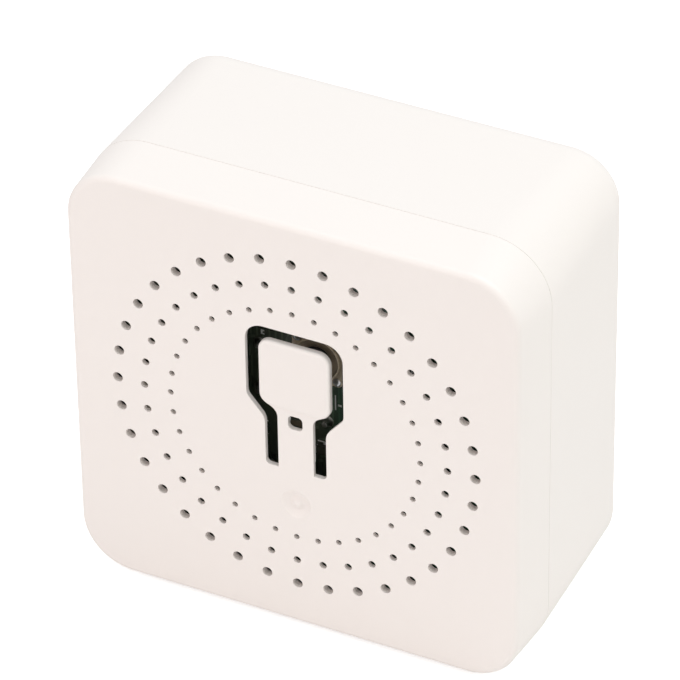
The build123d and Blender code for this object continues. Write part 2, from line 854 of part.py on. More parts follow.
# Rising cages and their screws. Each moves by itself, so each has its own node
screw_head_front = block_rear - screw_head_sink - screw_head_height
for index, x in enumerate(pole_x):
    with BuildPart() as terminal_cage:
        with BuildSketch(at_depth(cage_front)):
            with Locations((x, screw_rise)):
                Rectangle(cage_width, cage_length)
        extrude(amount=-cage_height)
        fillet(terminal_cage.edges().filter_by(Axis.Z), cage_edge_radius)
        window_height_in_cage = cage_height - cage_bottom_wall - cage_top_wall
        with BuildSketch(at_depth(cage_front + cage_bottom_wall)):
            with Locations((x, screw_rise)):
                Rectangle(cage_width - 2 * cage_side_wall, cage_length + overrun)
        extrude(amount=-window_height_in_cage, mode=Mode.SUBTRACT)
        with BuildSketch(at_depth(cage_front + cage_height - cage_top_wall - overrun / 2)):
            with Locations((x, screw_rise)):
                Circle(screw_diameter / 2 + screw_clearance)
        extrude(amount=-(cage_top_wall + overrun), mode=Mode.SUBTRACT)
    save(terminal_cage.part, "terminal_cage_" + str(index + 1))

    with BuildPart() as terminal_screw:
        with BuildSketch(at_depth(strip_rear + screw_clearance)):
            with Locations((x, screw_rise)):
                Circle(screw_diameter / 2)
        extrude(amount=-(screw_head_front + screw_clearance - strip_rear))
        with BuildSketch(at_depth(screw_head_front + 2 * screw_clearance)):
            with Locations((x, screw_rise)):
                Circle(screw_head_diameter / 2)
        extrude(amount=-(screw_head_height - 2 * screw_clearance))
        with BuildSketch(at_depth(screw_head_front + screw_head_height)):
            with Locations((x, screw_rise)):
                Rectangle(screw_head_diameter + overrun, screw_slot_width)
                Rectangle(screw_slot_width, screw_cross_length)
        extrude(amount=screw_slot_depth, mode=Mode.SUBTRACT)
    save(terminal_screw.part, "terminal_screw_" + str(index + 1))

# Relay. Heights here are measured from the back of the board
relay_height = part_room - relay_head_gap
relay_left = relay_x - relay_half
relay_right = relay_x + relay_half
coil_x = relay_left + coil_inset
coil_left = coil_x - coil_flange_width / 2
leg_right = coil_left - yoke_leg_gap
leg_left = leg_right - yoke_thickness
leg_x = (leg_left + leg_right) / 2
yoke_top = relay_base_height + yoke_thickness
leg_top = relay_height - relay_wall - armature_head_room - armature_thickness - armature_seat_gap
pole_top = leg_top - armature_gap
bobbin_top = pole_top - 2 * pole_clearance
bobbin_tube = pole_diameter / 2 + pole_clearance + bobbin_wall
blade_right = relay_right - relay_wall - contact_blade_inset
blade_left = blade_right - contact_blade_thickness
blade_x = (blade_left + blade_right) / 2
contact_x = blade_left - contact_rivet_diameter / 2 - contact_blade_clearance
spring_front = leg_top + armature_seat_gap + armature_thickness
arm_top = spring_front - contact_gap - 2 * contact_rivet_height
coil_pins = [(coil_x - coil_pin_spacing / 2, relay_rise + coil_pin_offset)]
coil_pins += [(coil_x + coil_pin_spacing / 2, relay_rise + coil_pin_offset)]


def above_board(height):
    """Plane that faces the front, a height above the back of the main board."""
    return at_depth(board_back + height)


with BuildPart() as relay_base:
    shell_room = 2 * (relay_wall + relay_base_clearance)
    with BuildSketch(above_board(0)):
        with Locations((relay_x, relay_rise)):
            RectangleRounded(
                relay_length - shell_room, relay_width - shell_room, relay_corner_radius - relay_wall
            )
        with Locations(*coil_pins):
            Circle(coil_pin_diameter / 2 + contact_blade_clearance, mode=Mode.SUBTRACT)
        with Locations((blade_x, relay_rise), (leg_x, relay_rise)):
            Rectangle(
                contact_blade_thickness + 2 * contact_blade_clearance,
                contact_blade_width + 2 * contact_blade_clearance,
                mode=Mode.SUBTRACT,
            )
    extrude(amount=-relay_base_height)
save(relay_base.part, "relay_base")

with BuildPart() as relay_cover:
    with BuildSketch(above_board(0)):
        with Locations((relay_x, relay_rise)):
            RectangleRounded(relay_length, relay_width, relay_corner_radius)
    extrude(amount=-relay_height)
    fillet(relay_cover.faces().sort_by(Axis.Y)[-1].edges(), relay_corner_radius / 2)
    with BuildSketch(above_board(0)):
        with Locations((relay_x, relay_rise)):
            RectangleRounded(
                relay_length - 2 * relay_wall,
                relay_width - 2 * relay_wall,
                relay_corner_radius - relay_wall,
            )
    extrude(amount=-(relay_height - relay_wall), mode=Mode.SUBTRACT)
save(relay_cover.part, "relay_cover")

# Yoke and pole in one, with a tail through the base that carries the common contact
with BuildPart() as relay_core:
    with BuildSketch(above_board(relay_base_height)):
        with Locations(((leg_left + coil_x + pole_diameter / 2) / 2, relay_rise)):
            Rectangle(coil_x + pole_diameter / 2 - leg_left, yoke_width)
    extrude(amount=-yoke_thickness)
    with BuildSketch(above_board(relay_base_height)):
        with Locations((leg_x, relay_rise)):
            Rectangle(yoke_thickness, yoke_width)
    extrude(amount=-(leg_top - relay_base_height))
    with BuildSketch(above_board(relay_base_height)):
        with Locations((coil_x, relay_rise)):
            Circle(pole_diameter / 2)
    extrude(amount=-(pole_top - relay_base_height))
    with BuildSketch(above_board(0)):
        with Locations((leg_x, relay_rise)):
            Rectangle(contact_blade_thickness, contact_blade_width)
    extrude(amount=-yoke_top)
save(relay_core.part, "relay_core")

with BuildPart() as relay_bobbin:
    with BuildSketch(above_board(yoke_top)):
        with Locations((coil_x, relay_rise)):
            Rectangle(coil_flange_width, coil_flange_width)
    extrude(amount=-coil_flange_thickness)
    with BuildSketch(above_board(bobbin_top)):
        with Locations((coil_x, relay_rise)):
            Rectangle(coil_flange_width, coil_flange_width)
    extrude(amount=coil_flange_thickness)
    with BuildSketch(above_board(yoke_top)):
        with Locations((coil_x, relay_rise)):
            Circle(bobbin_tube)
    extrude(amount=-(bobbin_top - yoke_top))
    with BuildSketch(above_board(yoke_top)):
        with Locations((coil_x, relay_rise)):
            Circle(pole_diameter / 2 + pole_clearance)
    extrude(amount=-(bobbin_top - yoke_top), mode=Mode.SUBTRACT)
save(relay_bobbin.part, "relay_bobbin")

with BuildPart() as relay_winding:
    with BuildSketch(above_board(yoke_top + coil_flange_thickness)):
        with Locations((coil_x, relay_rise)):
            Circle(winding_diameter / 2)
            Circle(bobbin_tube, mode=Mode.SUBTRACT)
    extrude(amount=-(bobbin_top - yoke_top - 2 * coil_flange_thickness))
save(relay_winding.part, "relay_winding")

with BuildPart() as relay_coil_pins:
    with BuildSketch(above_board(0)):
        with Locations(*coil_pins):
            Circle(coil_pin_diameter / 2)
    extrude(amount=-yoke_top)
save(relay_coil_pins.part, "relay_coil_pins")

armature_right = coil_x + coil_flange_width / 2 + armature_overhang
with BuildPart() as relay_armature:
    with BuildSketch(above_board(leg_top + armature_seat_gap)):
        with Locations(((leg_left + armature_right) / 2, relay_rise)):
            RectangleRounded(armature_right - leg_left, yoke_width, relay_corner_radius)
    extrude(amount=-armature_thickness)
save(relay_armature.part, "relay_armature")

spring_right = contact_x + contact_rivet_diameter / 2
with BuildPart() as relay_moving_contact:
    with BuildSketch(above_board(spring_front)):
        with Locations(((coil_x + spring_right) / 2, relay_rise)):
            RectangleRounded(spring_right - coil_x, contact_spring_width, relay_corner_radius)
    extrude(amount=-contact_spring_thickness)
    with BuildSketch(above_board(spring_front)):
        with Locations((contact_x, relay_rise)):
            Circle(contact_rivet_diameter / 2)
    extrude(amount=contact_rivet_height)
save(relay_moving_contact.part, "relay_moving_contact")

with BuildPart() as relay_fixed_contact:
    with BuildSketch(above_board(0)):
        with Locations((blade_x, relay_rise)):
            Rectangle(contact_blade_thickness, contact_blade_width)
    extrude(amount=-arm_top)
    arm_left = contact_x - contact_rivet_diameter / 2
    with BuildSketch(above_board(arm_top)):
        with Locations(((arm_left + blade_right) / 2, relay_rise)):
            Rectangle(blade_right - arm_left, contact_blade_width)
    extrude(amount=contact_blade_thickness)
    with BuildSketch(above_board(arm_top)):
        with Locations((contact_x, relay_rise)):
            Circle(contact_rivet_diameter / 2)
    extrude(amount=-contact_rivet_height)
save(relay_fixed_contact.part, "relay_fixed_contact")

# Electrolytic capacitors, turned profiles with a crimp near the foot
bulk_height = part_room - bulk_head_gap
output_height = part_room - output_head_gap
with BuildPart() as bulk_capacitors:
    for x, rise in bulk_places:
        with BuildSketch(above_board(0)):
            with Locations((x, rise)):
                Circle(bulk_diameter / 2)
        extrude(amount=-bulk_height)
        with BuildSketch(above_board(bulk_crimp_height)):
            with Locations((x, rise)):
                Circle(bulk_diameter / 2 + overrun)
                Circle(bulk_diameter / 2 - bulk_crimp_depth, mode=Mode.SUBTRACT)
        extrude(amount=-bulk_crimp_width, mode=Mode.SUBTRACT)
    for solid in bulk_capacitors.solids():
        fillet(solid.faces().sort_by(Axis.Y)[-1].edges(), bulk_edge_radius)
save(bulk_capacitors.part, "bulk_capacitors")

with BuildPart() as output_capacitor:
    with BuildSketch(above_board(0)):
        with Locations(output_place):
            Circle(output_diameter / 2)
    extrude(amount=-output_height)
    with BuildSketch(above_board(bulk_crimp_height)):
        with Locations(output_place):
            Circle(output_diameter / 2 + overrun)
            Circle(output_diameter / 2 - bulk_crimp_depth, mode=Mode.SUBTRACT)
    extrude(amount=-bulk_crimp_width, mode=Mode.SUBTRACT)
    fillet(output_capacitor.faces().sort_by(Axis.Y)[-1].edges(), bulk_edge_radius)
save(output_capacitor.part, "output_capacitor")

# Drum choke: a core with two flanges and a winding between them
with BuildPart() as choke_core:
    with BuildSketch(above_board(0)):
        with Locations(choke_place):
            Circle(choke_diameter / 2)
    extrude(amount=-choke_height)
    with BuildSketch(above_board(choke_flange)):
        with Locations(choke_place):
            Circle(choke_diameter / 2 + overrun)
            Circle(choke_waist_diameter / 2, mode=Mode.SUBTRACT)
    extrude(amount=-(choke_height - 2 * choke_flange), mode=Mode.SUBTRACT)
save(choke_core.part, "choke_core")

with BuildPart() as choke_winding:
    with BuildSketch(above_board(choke_flange)):
        with Locations(choke_place):
            Circle(choke_winding_diameter / 2)
            Circle(choke_waist_diameter / 2, mode=Mode.SUBTRACT)
    extrude(amount=-(choke_height - 2 * choke_flange))
save(choke_winding.part, "choke_winding")

# Varistor, a coated disc on two legs
with BuildPart() as surge_varistor:
    varistor_y = front_y + board_back + varistor_stand_off + varistor_diameter / 2
    with BuildSketch(Plane.XY.offset(centre_z + varistor_place[1] - varistor_thickness / 2)):
        with Locations((varistor_place[0], varistor_y)):
            Circle(varistor_diameter / 2)
    extrude(amount=varistor_thickness)
    fillet(surge_varistor.edges(), varistor_edge_radius)
    with BuildSketch(above_board(0)):
        with Locations(varistor_place):
            with GridLocations(varistor_leg_spacing, varistor_leg_spacing, 2, 1):
                Circle(varistor_leg_diameter / 2)
    extrude(amount=-(varistor_stand_off + varistor_diameter / 2))
save(surge_varistor.part, "surge_varistor")

with BuildPart() as x_capacitor:
    with BuildSketch(above_board(0)):
        with Locations(x_capacitor_place):
            RectangleRounded(x_capacitor_length, x_capacitor_width, x_capacitor_edge_radius)
    extrude(amount=-x_capacitor_height)
    fillet(x_capacitor.faces().sort_by(Axis.Y)[-1].edges(), x_capacitor_edge_radius / 2)
save(x_capacitor.part, "x_capacitor")

# Fusible resistor stood on end, its upper lead bent back down to the board
fuse_return_x = fuse_place[0] - fuse_diameter / 2 - fuse_lead_loop
fuse_foot_y = front_y + board_back
fuse_loop_y = fuse_foot_y + fuse_stand_off + fuse_body_height + fuse_lead_loop
fuse_z = centre_z + fuse_place[1]
with BuildPart() as fuse_resistor:
    with BuildSketch(above_board(fuse_stand_off)):
        with Locations(fuse_place):
            Circle(fuse_diameter / 2)
    extrude(amount=-fuse_body_height)
    fillet(fuse_resistor.edges(), fuse_end_radius)
    with BuildLine():
        fuse_lead = FilletPolyline(
            (fuse_place[0], fuse_foot_y, fuse_z),
            (fuse_place[0], fuse_loop_y, fuse_z),
            (fuse_return_x, fuse_loop_y, fuse_z),
            (fuse_return_x, fuse_foot_y, fuse_z),
            radius=fuse_lead_bend,
        )
    with BuildSketch(above_board(0)):
        with Locations(fuse_place):
            Circle(fuse_lead_diameter / 2)
    sweep(path=fuse_lead)
save(fuse_resistor.part, "fuse_resistor")

# Surface-mount packages with their leads
with BuildPart() as bridge_rectifier:
    with BuildSketch(above_board(package_lift)):
        with Locations((package_x, rectifier_rise)):
            Rectangle(rectifier_length, rectifier_width)
    extrude(amount=-rectifier_height)
    chamfer(bridge_rectifier.faces().sort_by(Axis.Y)[-1].edges(), package_chamfer)
    with BuildSketch(above_board(0)):
        with Locations((package_x, rectifier_rise)):
            with GridLocations(rectifier_lead_pitch, rectifier_width, 2, 2):
                Rectangle(package_lead_width, 2 * package_lead_length)
    extrude(amount=-(package_lift + package_lead_thickness))
save(bridge_rectifier.part, "bridge_rectifier")

with BuildPart() as converter_ic:
    with BuildSketch(above_board(package_lift)):
        with Locations((package_x, converter_rise)):
            Rectangle(converter_length, converter_width)
    extrude(amount=-converter_height)
    chamfer(converter_ic.faces().sort_by(Axis.Y)[-1].edges(), package_chamfer)
    with BuildSketch(above_board(0)):
        with Locations((package_x, converter_rise)):
            with GridLocations(converter_lead_pitch, converter_width, 4, 2):
                Rectangle(package_lead_width, 2 * package_lead_length)
    extrude(amount=-(package_lift + package_lead_thickness))
save(converter_ic.part, "converter_ic")

# Radio board with castellated edges, its chip and its shield can
radio_x = -board_half + radio_edge_gap + radio_width / 2
shield_rise = radio_rise - (radio_height - shield_length) / 2 + shield_inset
radio_front = board_front - radio_thickness
with BuildPart() as radio_board:
    with BuildSketch(at_depth(board_front)):
        with Locations((radio_x, radio_rise)):
            Rectangle(radio_width, radio_height)
            with GridLocations(radio_width, radio_pad_pitch, 2, radio_pads):
                Circle(radio_pad_notch / 2, mode=Mode.SUBTRACT)
    extrude(amount=radio_thickness)
save(radio_board.part, "radio_board")

with BuildPart() as radio_chip:
    with BuildSketch(at_depth(radio_front)):
        with Locations((radio_x, shield_rise)):
            Rectangle(radio_chip_width, radio_chip_width)
    extrude(amount=radio_chip_height)
save(radio_chip.part, "radio_chip")

with BuildPart() as radio_shield:
    with BuildSketch(at_depth(radio_front)):
        with Locations((radio_x, shield_rise)):
            RectangleRounded(shield_width, shield_length, shield_corner_radius)
    extrude(amount=shield_height)
    with BuildSketch(at_depth(radio_front)):
        with Locations((radio_x, shield_rise)):
            RectangleRounded(
                shield_width - 2 * shield_wall,
                shield_length - 2 * shield_wall,
                shield_corner_radius - shield_wall,
            )
    extrude(amount=shield_height - shield_wall, mode=Mode.SUBTRACT)
save(radio_shield.part, "radio_shield")

# Chip resistors and capacitors round the switch
chip_places = [(share_x * board_half, share_rise * board_half) for share_x, share_rise in chip_shares]
with BuildPart() as front_passives:
    with BuildSketch(at_depth(board_front)):
        with Locations(*chip_places):
            Rectangle(chip_length, chip_width)
    extrude(amount=chip_height)
save(front_passives.part, "front_passives")

# Solder joints where the leads of the parts behind come through
solder_places = [(x, leg_rise) for x in pole_x] + coil_pins
solder_places += [(blade_x, relay_rise), (leg_x, relay_rise)]
for place, spacing in (
    (bulk_places[0], bulk_lead_spacing),
    (bulk_places[1], bulk_lead_spacing),
    (output_place, output_lead_spacing),
    (varistor_place, varistor_leg_spacing),
    (x_capacitor_place, x_capacitor_lead_spacing),
):
    solder_places += [(place[0] - spacing / 2, place[1]), (place[0] + spacing / 2, place[1])]
solder_places += [(choke_place[0], choke_place[1] - choke_lead_spacing / 2)]
solder_places += [(choke_place[0], choke_place[1] + choke_lead_spacing / 2)]
solder_places += [fuse_place, (fuse_return_x, fuse_place[1])]
with BuildPart() as solder_joints:
    for place in solder_places:
        with BuildSketch(at_depth(board_front)):
            with Locations(place):
                Circle(solder_foot_diameter / 2)
        with BuildSketch(at_depth(board_front - solder_height)):
            with Locations(place):
                Circle(solder_tip_diameter / 2)
        loft()
save(solder_joints.part, "solder_joints")
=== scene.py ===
import json
import math

import bmesh
import bpy
from bpy.props import FloatProperty, FloatVectorProperty, IntProperty, PointerProperty
from mathutils import Matrix, Vector


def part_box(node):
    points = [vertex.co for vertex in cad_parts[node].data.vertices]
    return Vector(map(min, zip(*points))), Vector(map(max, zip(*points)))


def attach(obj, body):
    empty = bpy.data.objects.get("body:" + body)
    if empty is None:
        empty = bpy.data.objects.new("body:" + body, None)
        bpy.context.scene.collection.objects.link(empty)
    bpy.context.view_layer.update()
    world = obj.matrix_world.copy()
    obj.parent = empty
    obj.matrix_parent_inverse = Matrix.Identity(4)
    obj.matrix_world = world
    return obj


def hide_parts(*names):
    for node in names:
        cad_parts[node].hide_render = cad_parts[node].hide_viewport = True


bl_info = {
    "name": "Relay module looks",
    "version": (1, 0, 0),
    "blender": (4, 5, 0),
    "location": "View3D > Sidebar > Relay module",
    "description": "Finishes, small repeated parts and a studio stage for a mains relay module",
    "category": "Object",
}

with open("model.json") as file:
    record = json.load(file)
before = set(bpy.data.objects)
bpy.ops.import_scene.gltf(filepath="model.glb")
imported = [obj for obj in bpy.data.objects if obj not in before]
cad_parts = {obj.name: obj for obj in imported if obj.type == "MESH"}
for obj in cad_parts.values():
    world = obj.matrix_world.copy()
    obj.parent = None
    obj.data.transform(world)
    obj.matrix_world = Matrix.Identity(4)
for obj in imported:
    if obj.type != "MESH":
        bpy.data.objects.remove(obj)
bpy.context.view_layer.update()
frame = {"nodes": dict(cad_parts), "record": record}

MM = 0.001
MICRON = 0.000001

# The front cover's corners, and the middle of its vent rings: right of its middle and above it
COVER_LOW, COVER_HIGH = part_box("front_cover")
COVER_MIDDLE_Z = (COVER_LOW.z + COVER_HIGH.z) / 2
PATTERN_X = 0.2 * MM
PATTERN_RISE = 0.3 * MM

# Outlines that are turned round y, each a run of (radius, y) in millimetres
GATE_CONE = (
    (0.85, 0.37),
    (0.72, 0.365),
    (0.6, 0.34),
    (0.5, 0.285),
    (0.42, 0.225),
    (0.36, 0.19),
    (0.25, 0.165),
    (0.1, 0.155),
)
RIVET_HEAD = ((0.42, 0.0), (0.42, -0.07), (0.3, -0.16), (0.12, -0.2))
SOLDER_FOOT = (
    (0.6, 0.0),
    (0.5, -0.05),
    (0.41, -0.14),
    (0.36, -0.27),
    (0.33, -0.42),
    (0.3, -0.5),
    (0.28, -0.52),
    (0.27, -0.66),
    (0.2, -0.7),
)

# Print on the board, and in the last row a painted highlight where a glint shows: left, foot, width and
# height in millimetres, from the middle of the cover
BOARD_PRINT_AND_GLINT = (
    (-5.35, 5.78, 0.18, 0.52),
    (-5.17, 6.14, 0.17, 0.16),
    (-5.17, 5.78, 0.2, 0.15),
    (1.92, -0.4, 0.12, 1.66),
    (2.24, 0.1, 0.34, 0.22),
    # A white patch that stands for a glint on the board: a painted highlight, drawn in the print's white
    (0.72, -4.8, 0.22, 0.4),
)

# Lamps: name, side of its square and place, in metres
LAMPS = (
    ("top", 0.5, (0.14, 0.02, 0.54)),
    ("left", 0.4, (-0.25, -0.55, 0.16)),
    ("right", 0.4, (0.6, -0.1, 0.25)),
)

# Quarter turns about x, which bring what stands along z to point to the front or to the back
TO_FRONT = (math.radians(90), 0, 0)
TO_BACK = (math.radians(-90), 0, 0)

POLES = 5
# Points of a mesh closer than this are one
WELD = 0.1 * MICRON
RANDOM_SEED = 7


# ---------------------------------------------------------------- node maths


class Flow:
    """One socket of a node tree, with Python's operators standing for Math nodes."""

    def __init__(self, tree, socket):
        self.tree = tree
        self.socket = socket

    def maths(self, operation, *others):
        node = self.tree.nodes.new("ShaderNodeMath")
        node.operation = operation
        for place, value in zip(node.inputs, (self,) + others):
            feed(self.tree, value, place)
        return Flow(self.tree, node.outputs[0])

    def __add__(self, other):
        return self.maths("ADD", other)

    __radd__ = __add__

    def __mul__(self, other):
        return self.maths("MULTIPLY", other)

    __rmul__ = __mul__

    def __sub__(self, other):
        return self.maths("SUBTRACT", other)

    def __rsub__(self, other):
        return (self * -1) + other

    def __truediv__(self, other):
        return self.maths("DIVIDE", other)

    def __gt__(self, other):
        return self.maths("GREATER_THAN", other)

    def __lt__(self, other):
        return self.maths("LESS_THAN", other)

    def largest(self, other):
        return self.maths("MAXIMUM", other)

    def centred(self):
        """What lies round a half, such as noise, moved to lie round 0."""
        return self - 0.5

    def ripples(self, period):
        """A smooth wave between 0 and 1 along a length."""
        return (self * (2 * math.pi / period)).maths("SINE") * 0.5 + 0.5

    def stripes(self, period, width):
        """1 on stripes of that width across a length, and 0 between them."""
        return (self.maths("FLOORED_MODULO", period) - period / 2).maths("ABSOLUTE") < width / 2

    def step(self, low, high):
        """0 below low, 1 above high and smooth between them."""
        node = self.tree.nodes.new("ShaderNodeMapRange")
        node.interpolation_type = "SMOOTHSTEP"
        for name, value in (("Value", self), ("From Min", low), ("From Max", high)):
            feed(self.tree, value, node.inputs[name])
        return Flow(self.tree, node.outputs["Result"])


def feed(tree, value, place):
    """Links a flow to a socket, or sets the socket to a plain value."""
    if isinstance(value, Flow):
        tree.links.new(value.socket, place)
    else:
        place.default_value = value


class Growing:
    """A node tree under construction."""

    def node(self, kind, settings=None, output=0, **sockets):
        """Adds a node. Its settings come first, then the values or links of its sockets."""
        node = self.tree.nodes.new(kind)
        for name, value in (settings or {}).items():
            setattr(node, name, value)
        for name, value in sockets.items():
            feed(self.tree, value, node.inputs[name.replace("_", " ").title()])
        return Flow(self.tree, node.outputs[output])


class Finish(Growing):
    """A material under construction: one surface shader, and the nodes that feed it."""

    def __init__(self, name, **surface):
        self.material = bpy.data.materials.new(name)
        self.material.use_nodes = True
        self.tree = self.material.node_tree
        self.shader = self.tree.nodes["Principled BSDF"]
        self.set(**surface)

    def set(self, **surface):
        for name, value in surface.items():
            feed(self.tree, value, self.shader.inputs[name.replace("_", " ").title().replace("Ior", "IOR")])

    def place(self):
        return self.node("ShaderNodeTexCoord", output="Object")

    def axes(self):
        """The x, y and z of each point of the surface, in metres."""
        node = self.tree.nodes.new("ShaderNodeSeparateXYZ")
        feed(self.tree, self.place(), node.inputs[0])
        return [Flow(self.tree, socket) for socket in node.outputs]

    def noise(self, size, detail=2.0, roughness=0.5):
        """Even noise round 0.5 whose grains are about size metres."""
        return self.node(
            "ShaderNodeTexNoise",
            output="Fac",
            Vector=self.place(),
            Scale=1 / size,
            Detail=detail,
            Roughness=roughness,
        )

    def cells(self, size):
        """The distance from the middle of the nearest of many uneven cells."""
        return self.node("ShaderNodeTexVoronoi", output="Distance", Vector=self.place(), Scale=1 / size)

    def blend(self, mask, first, second):
        """Colour first where the mask is 0 and second where it is 1."""
        node = self.tree.nodes.new("ShaderNodeMix")
        node.data_type = "RGBA"
        feed(self.tree, mask, node.inputs["Factor"])
        for name, colour in (("A", first), ("B", second)):
            place = [i for i in node.inputs if i.name == name and i.type == "RGBA"][0]
            feed(self.tree, colour, place)
        return Flow(self.tree, [o for o in node.outputs if o.type == "RGBA"][0])

    def relief(self, height, depth, under=None):
        """A bump of that many metres, laid over an earlier one."""
        node = self.tree.nodes.new("ShaderNodeBump")
        feed(self.tree, height, node.inputs["Height"])
        node.inputs["Distance"].default_value = depth
        if under is not None:
            feed(self.tree, under, node.inputs["Normal"])
        return Flow(self.tree, node.outputs[0])


def shade(colour, factor):
    """A colour made lighter or darker by a factor."""
    return tuple(min(1.0, c * factor) for c in colour[:3]) + (1.0,)


# ---------------------------------------------------------------- finishes


def moulded_plastic(name, colour, roughness, grain):
    """Spark-eroded mould skin: a fine even grain, and a slow drift in colour and gloss."""
    drift_size, drift_tone, drift_gloss = 14 * MM, 0.008, 0.08
    skin_detail, skin_roughness, skin_gloss, skin_depth = 3.0, 0.6, 0.06, 5 * MICRON
    pit_size, pit_depth = grain * 2.2, 2.5 * MICRON
    look = Finish(name)
    drift = look.noise(drift_size, detail=skin_detail)
    skin = look.noise(grain, detail=skin_detail, roughness=skin_roughness)
    look.set(
        base_color=look.blend(drift, shade(colour, 1 - drift_tone), shade(colour, 1 + drift_tone)),
        roughness=roughness + drift.centred() * drift_gloss + skin.centred() * skin_gloss,
        normal=look.relief(look.cells(pit_size), pit_depth, look.relief(skin, skin_depth)),
    )
    return look.material


def circuit_board(name, colour, lit_right_colour, copper_lift, weave):
    """Solder mask over routed copper: lighter tracks on a dark ground, with a faint glass weave, and painted
    light from left to right: greyer on the left, where the board lies in shade, and greener on the right,
    where it is lit.
    """
    jog_size, jog = 3.4 * MM, 0.45 * MM
    upright_pitch, upright_width = 0.62 * MM, 0.18 * MM
    slope, sloped_pitch, sloped_width = 0.5, 1.9 * MM, 0.32 * MM
    region_size, region_edge = 7 * MM, (0.47, 0.49)
    pour_size, pour_edge = 9 * MM, (0.6, 0.61)
    painted_light_ramp = 3.5 * MM
    gloss, weave_gloss, weave_depth, track_height = 0.34, 0.08, 3 * MICRON, 30 * MICRON
    look = Finish(name, coat_weight=0.3, coat_roughness=0.14)
    x, _, z = look.axes()
    bend = (look.noise(jog_size, detail=0.0) > 0.5) * jog
    upright = (x + bend).stripes(upright_pitch, upright_width)
    sloped = (z - x * slope + bend).stripes(sloped_pitch, sloped_width)
    region = look.noise(region_size, detail=1.0).step(*region_edge)
    pour = look.noise(pour_size, detail=0.0).step(*pour_edge)
    track = (upright * region + sloped * (1 - region)).largest(pour)
    threads = (x.ripples(weave) + z.ripples(weave)) * 0.5
    # Painted light: a ramp from the greyer, shaded tone on the left to the greener, lit tone on the right
    side = x.step(0, painted_light_ramp)
    ground = look.blend(side, colour, lit_right_colour)
    copper = look.blend(side, shade(colour, copper_lift), shade(lit_right_colour, copper_lift))
    look.set(
        base_color=look.blend(track, ground, copper),
        roughness=gloss + threads * weave_gloss,
        normal=look.relief(threads, weave_depth, look.relief(track, track_height)),
    )
    return look.material


def plated_metal(name, colour, roughness, grain):
    """Stamped and plated sheet: fine drawn lines, small dull patches and a soft mottle."""
    slope, line_depth = 0.3, 2 * MICRON
    mottle_size, mottle_gloss, darkest, lightest = 0.9 * MM, 0.1, 0.86, 1.08
    dull_size, dull_edge, dull_gloss = 2.4 * MM, (0.45, 0.7), 0.14
    look = Finish(name, metallic=1.0)
    x, y, _ = look.axes()
    lines = (x + y * slope).ripples(grain)
    mottle = look.noise(mottle_size, detail=4.0, roughness=0.6)
    dull = look.noise(dull_size, detail=2.0).step(*dull_edge)
    look.set(
        base_color=look.blend(mottle, shade(colour, darkest), shade(colour, lightest)),
        roughness=roughness + dull * dull_gloss + mottle.centred() * mottle_gloss,
        normal=look.relief(lines * mottle, line_depth),
    )
    return look.material


def enamelled_wire(name, colour, pitch):
    """Close turns of lacquered wire, seen from any side, with painted shade in the grooves between the turns
    and a painted highlight on their crests.
    """
    drift_size, drift_share, drift_gloss, gloss = 0.7 * MM, 0.3, 0.12, 0.24
    groove_painted_shade, crest_painted_highlight, groove_share = 0.45, 1.1, 0.4
    look = Finish(name, metallic=0.7, coat_weight=0.6, coat_roughness=0.1)
    _, y, _ = look.axes()
    turns = y.ripples(pitch)
    drift = look.noise(drift_size)
    # Painted light: lighter on each turn's crest and darker in the grooves between turns
    painted_crest_light = turns * ((1 - drift_share) + drift * drift_share)
    look.set(
        base_color=look.blend(painted_crest_light, shade(colour, groove_painted_shade), shade(colour, crest_painted_highlight)),
        roughness=gloss + drift * drift_gloss,
        normal=look.relief(turns, pitch * groove_share),
    )
    return look.material


def coated_resin(name, colour, roughness, ripple):
    """Dipped or cast resin: a slow ripple in the surface and a glossy skin."""
    wave_size, wave_gloss = 1.6 * MM, 0.12
    speck_size, speck_edge, speck_tone = 0.22 * MM, (0.62, 0.7), 1.25
    look = Finish(name, coat_weight=0.5, coat_roughness=0.08)
    waves = look.noise(wave_size, detail=1.0)
    specks = look.noise(speck_size, detail=2.0).step(*speck_edge)
    look.set(
        base_color=look.blend(specks, colour, shade(colour, speck_tone)),
        roughness=roughness + waves.centred() * wave_gloss,
        normal=look.relief(waves, ripple),
    )
    return look.material


def shrunk_sleeve(name, colour, stripe):
    """A heat-shrunk sleeve with pale stripes along it and a faint drag in the film."""
    drag_size, drag_gloss, drag_depth, gloss = 1.1 * MM, 0.15, 12 * MICRON, 0.3
    stripe_pitch, stripe_width, stripe_shift = 9.5 * MM, 1.8 * MM, 0.05 * MM
    look = Finish(name, coat_weight=0.3, coat_roughness=0.2)
    x, _, _ = look.axes()
    drag = look.noise(drag_size, detail=3.0)
    look.set(
        base_color=look.blend((x + stripe_shift).stripes(stripe_pitch, stripe_width), colour, stripe),
        roughness=gloss + drag.centred() * drag_gloss,
        normal=look.relief(drag, drag_depth),
    )
    return look.material


def fired_ceramic(name, colour, other_colour):
    """Chip bodies in two tones of fired ceramic, with its fine grain."""
    grain_size, grain_tone, grain_gloss, grain_depth = 0.08 * MM, 0.85, 0.2, 4 * MICRON
    tone_size, tone_edge, gloss = 2.1 * MM, (0.48, 0.5), 0.5
    look = Finish(name, specular_ior_level=0.4)
    grain = look.noise(grain_size, detail=3.0)
    tone = look.noise(tone_size, detail=0.0).step(*tone_edge)
    look.set(
        base_color=look.blend(tone, look.blend(grain, shade(colour, grain_tone), colour), other_colour),
        roughness=gloss + grain.centred() * grain_gloss,
        normal=look.relief(grain, grain_depth),
    )
    return look.material


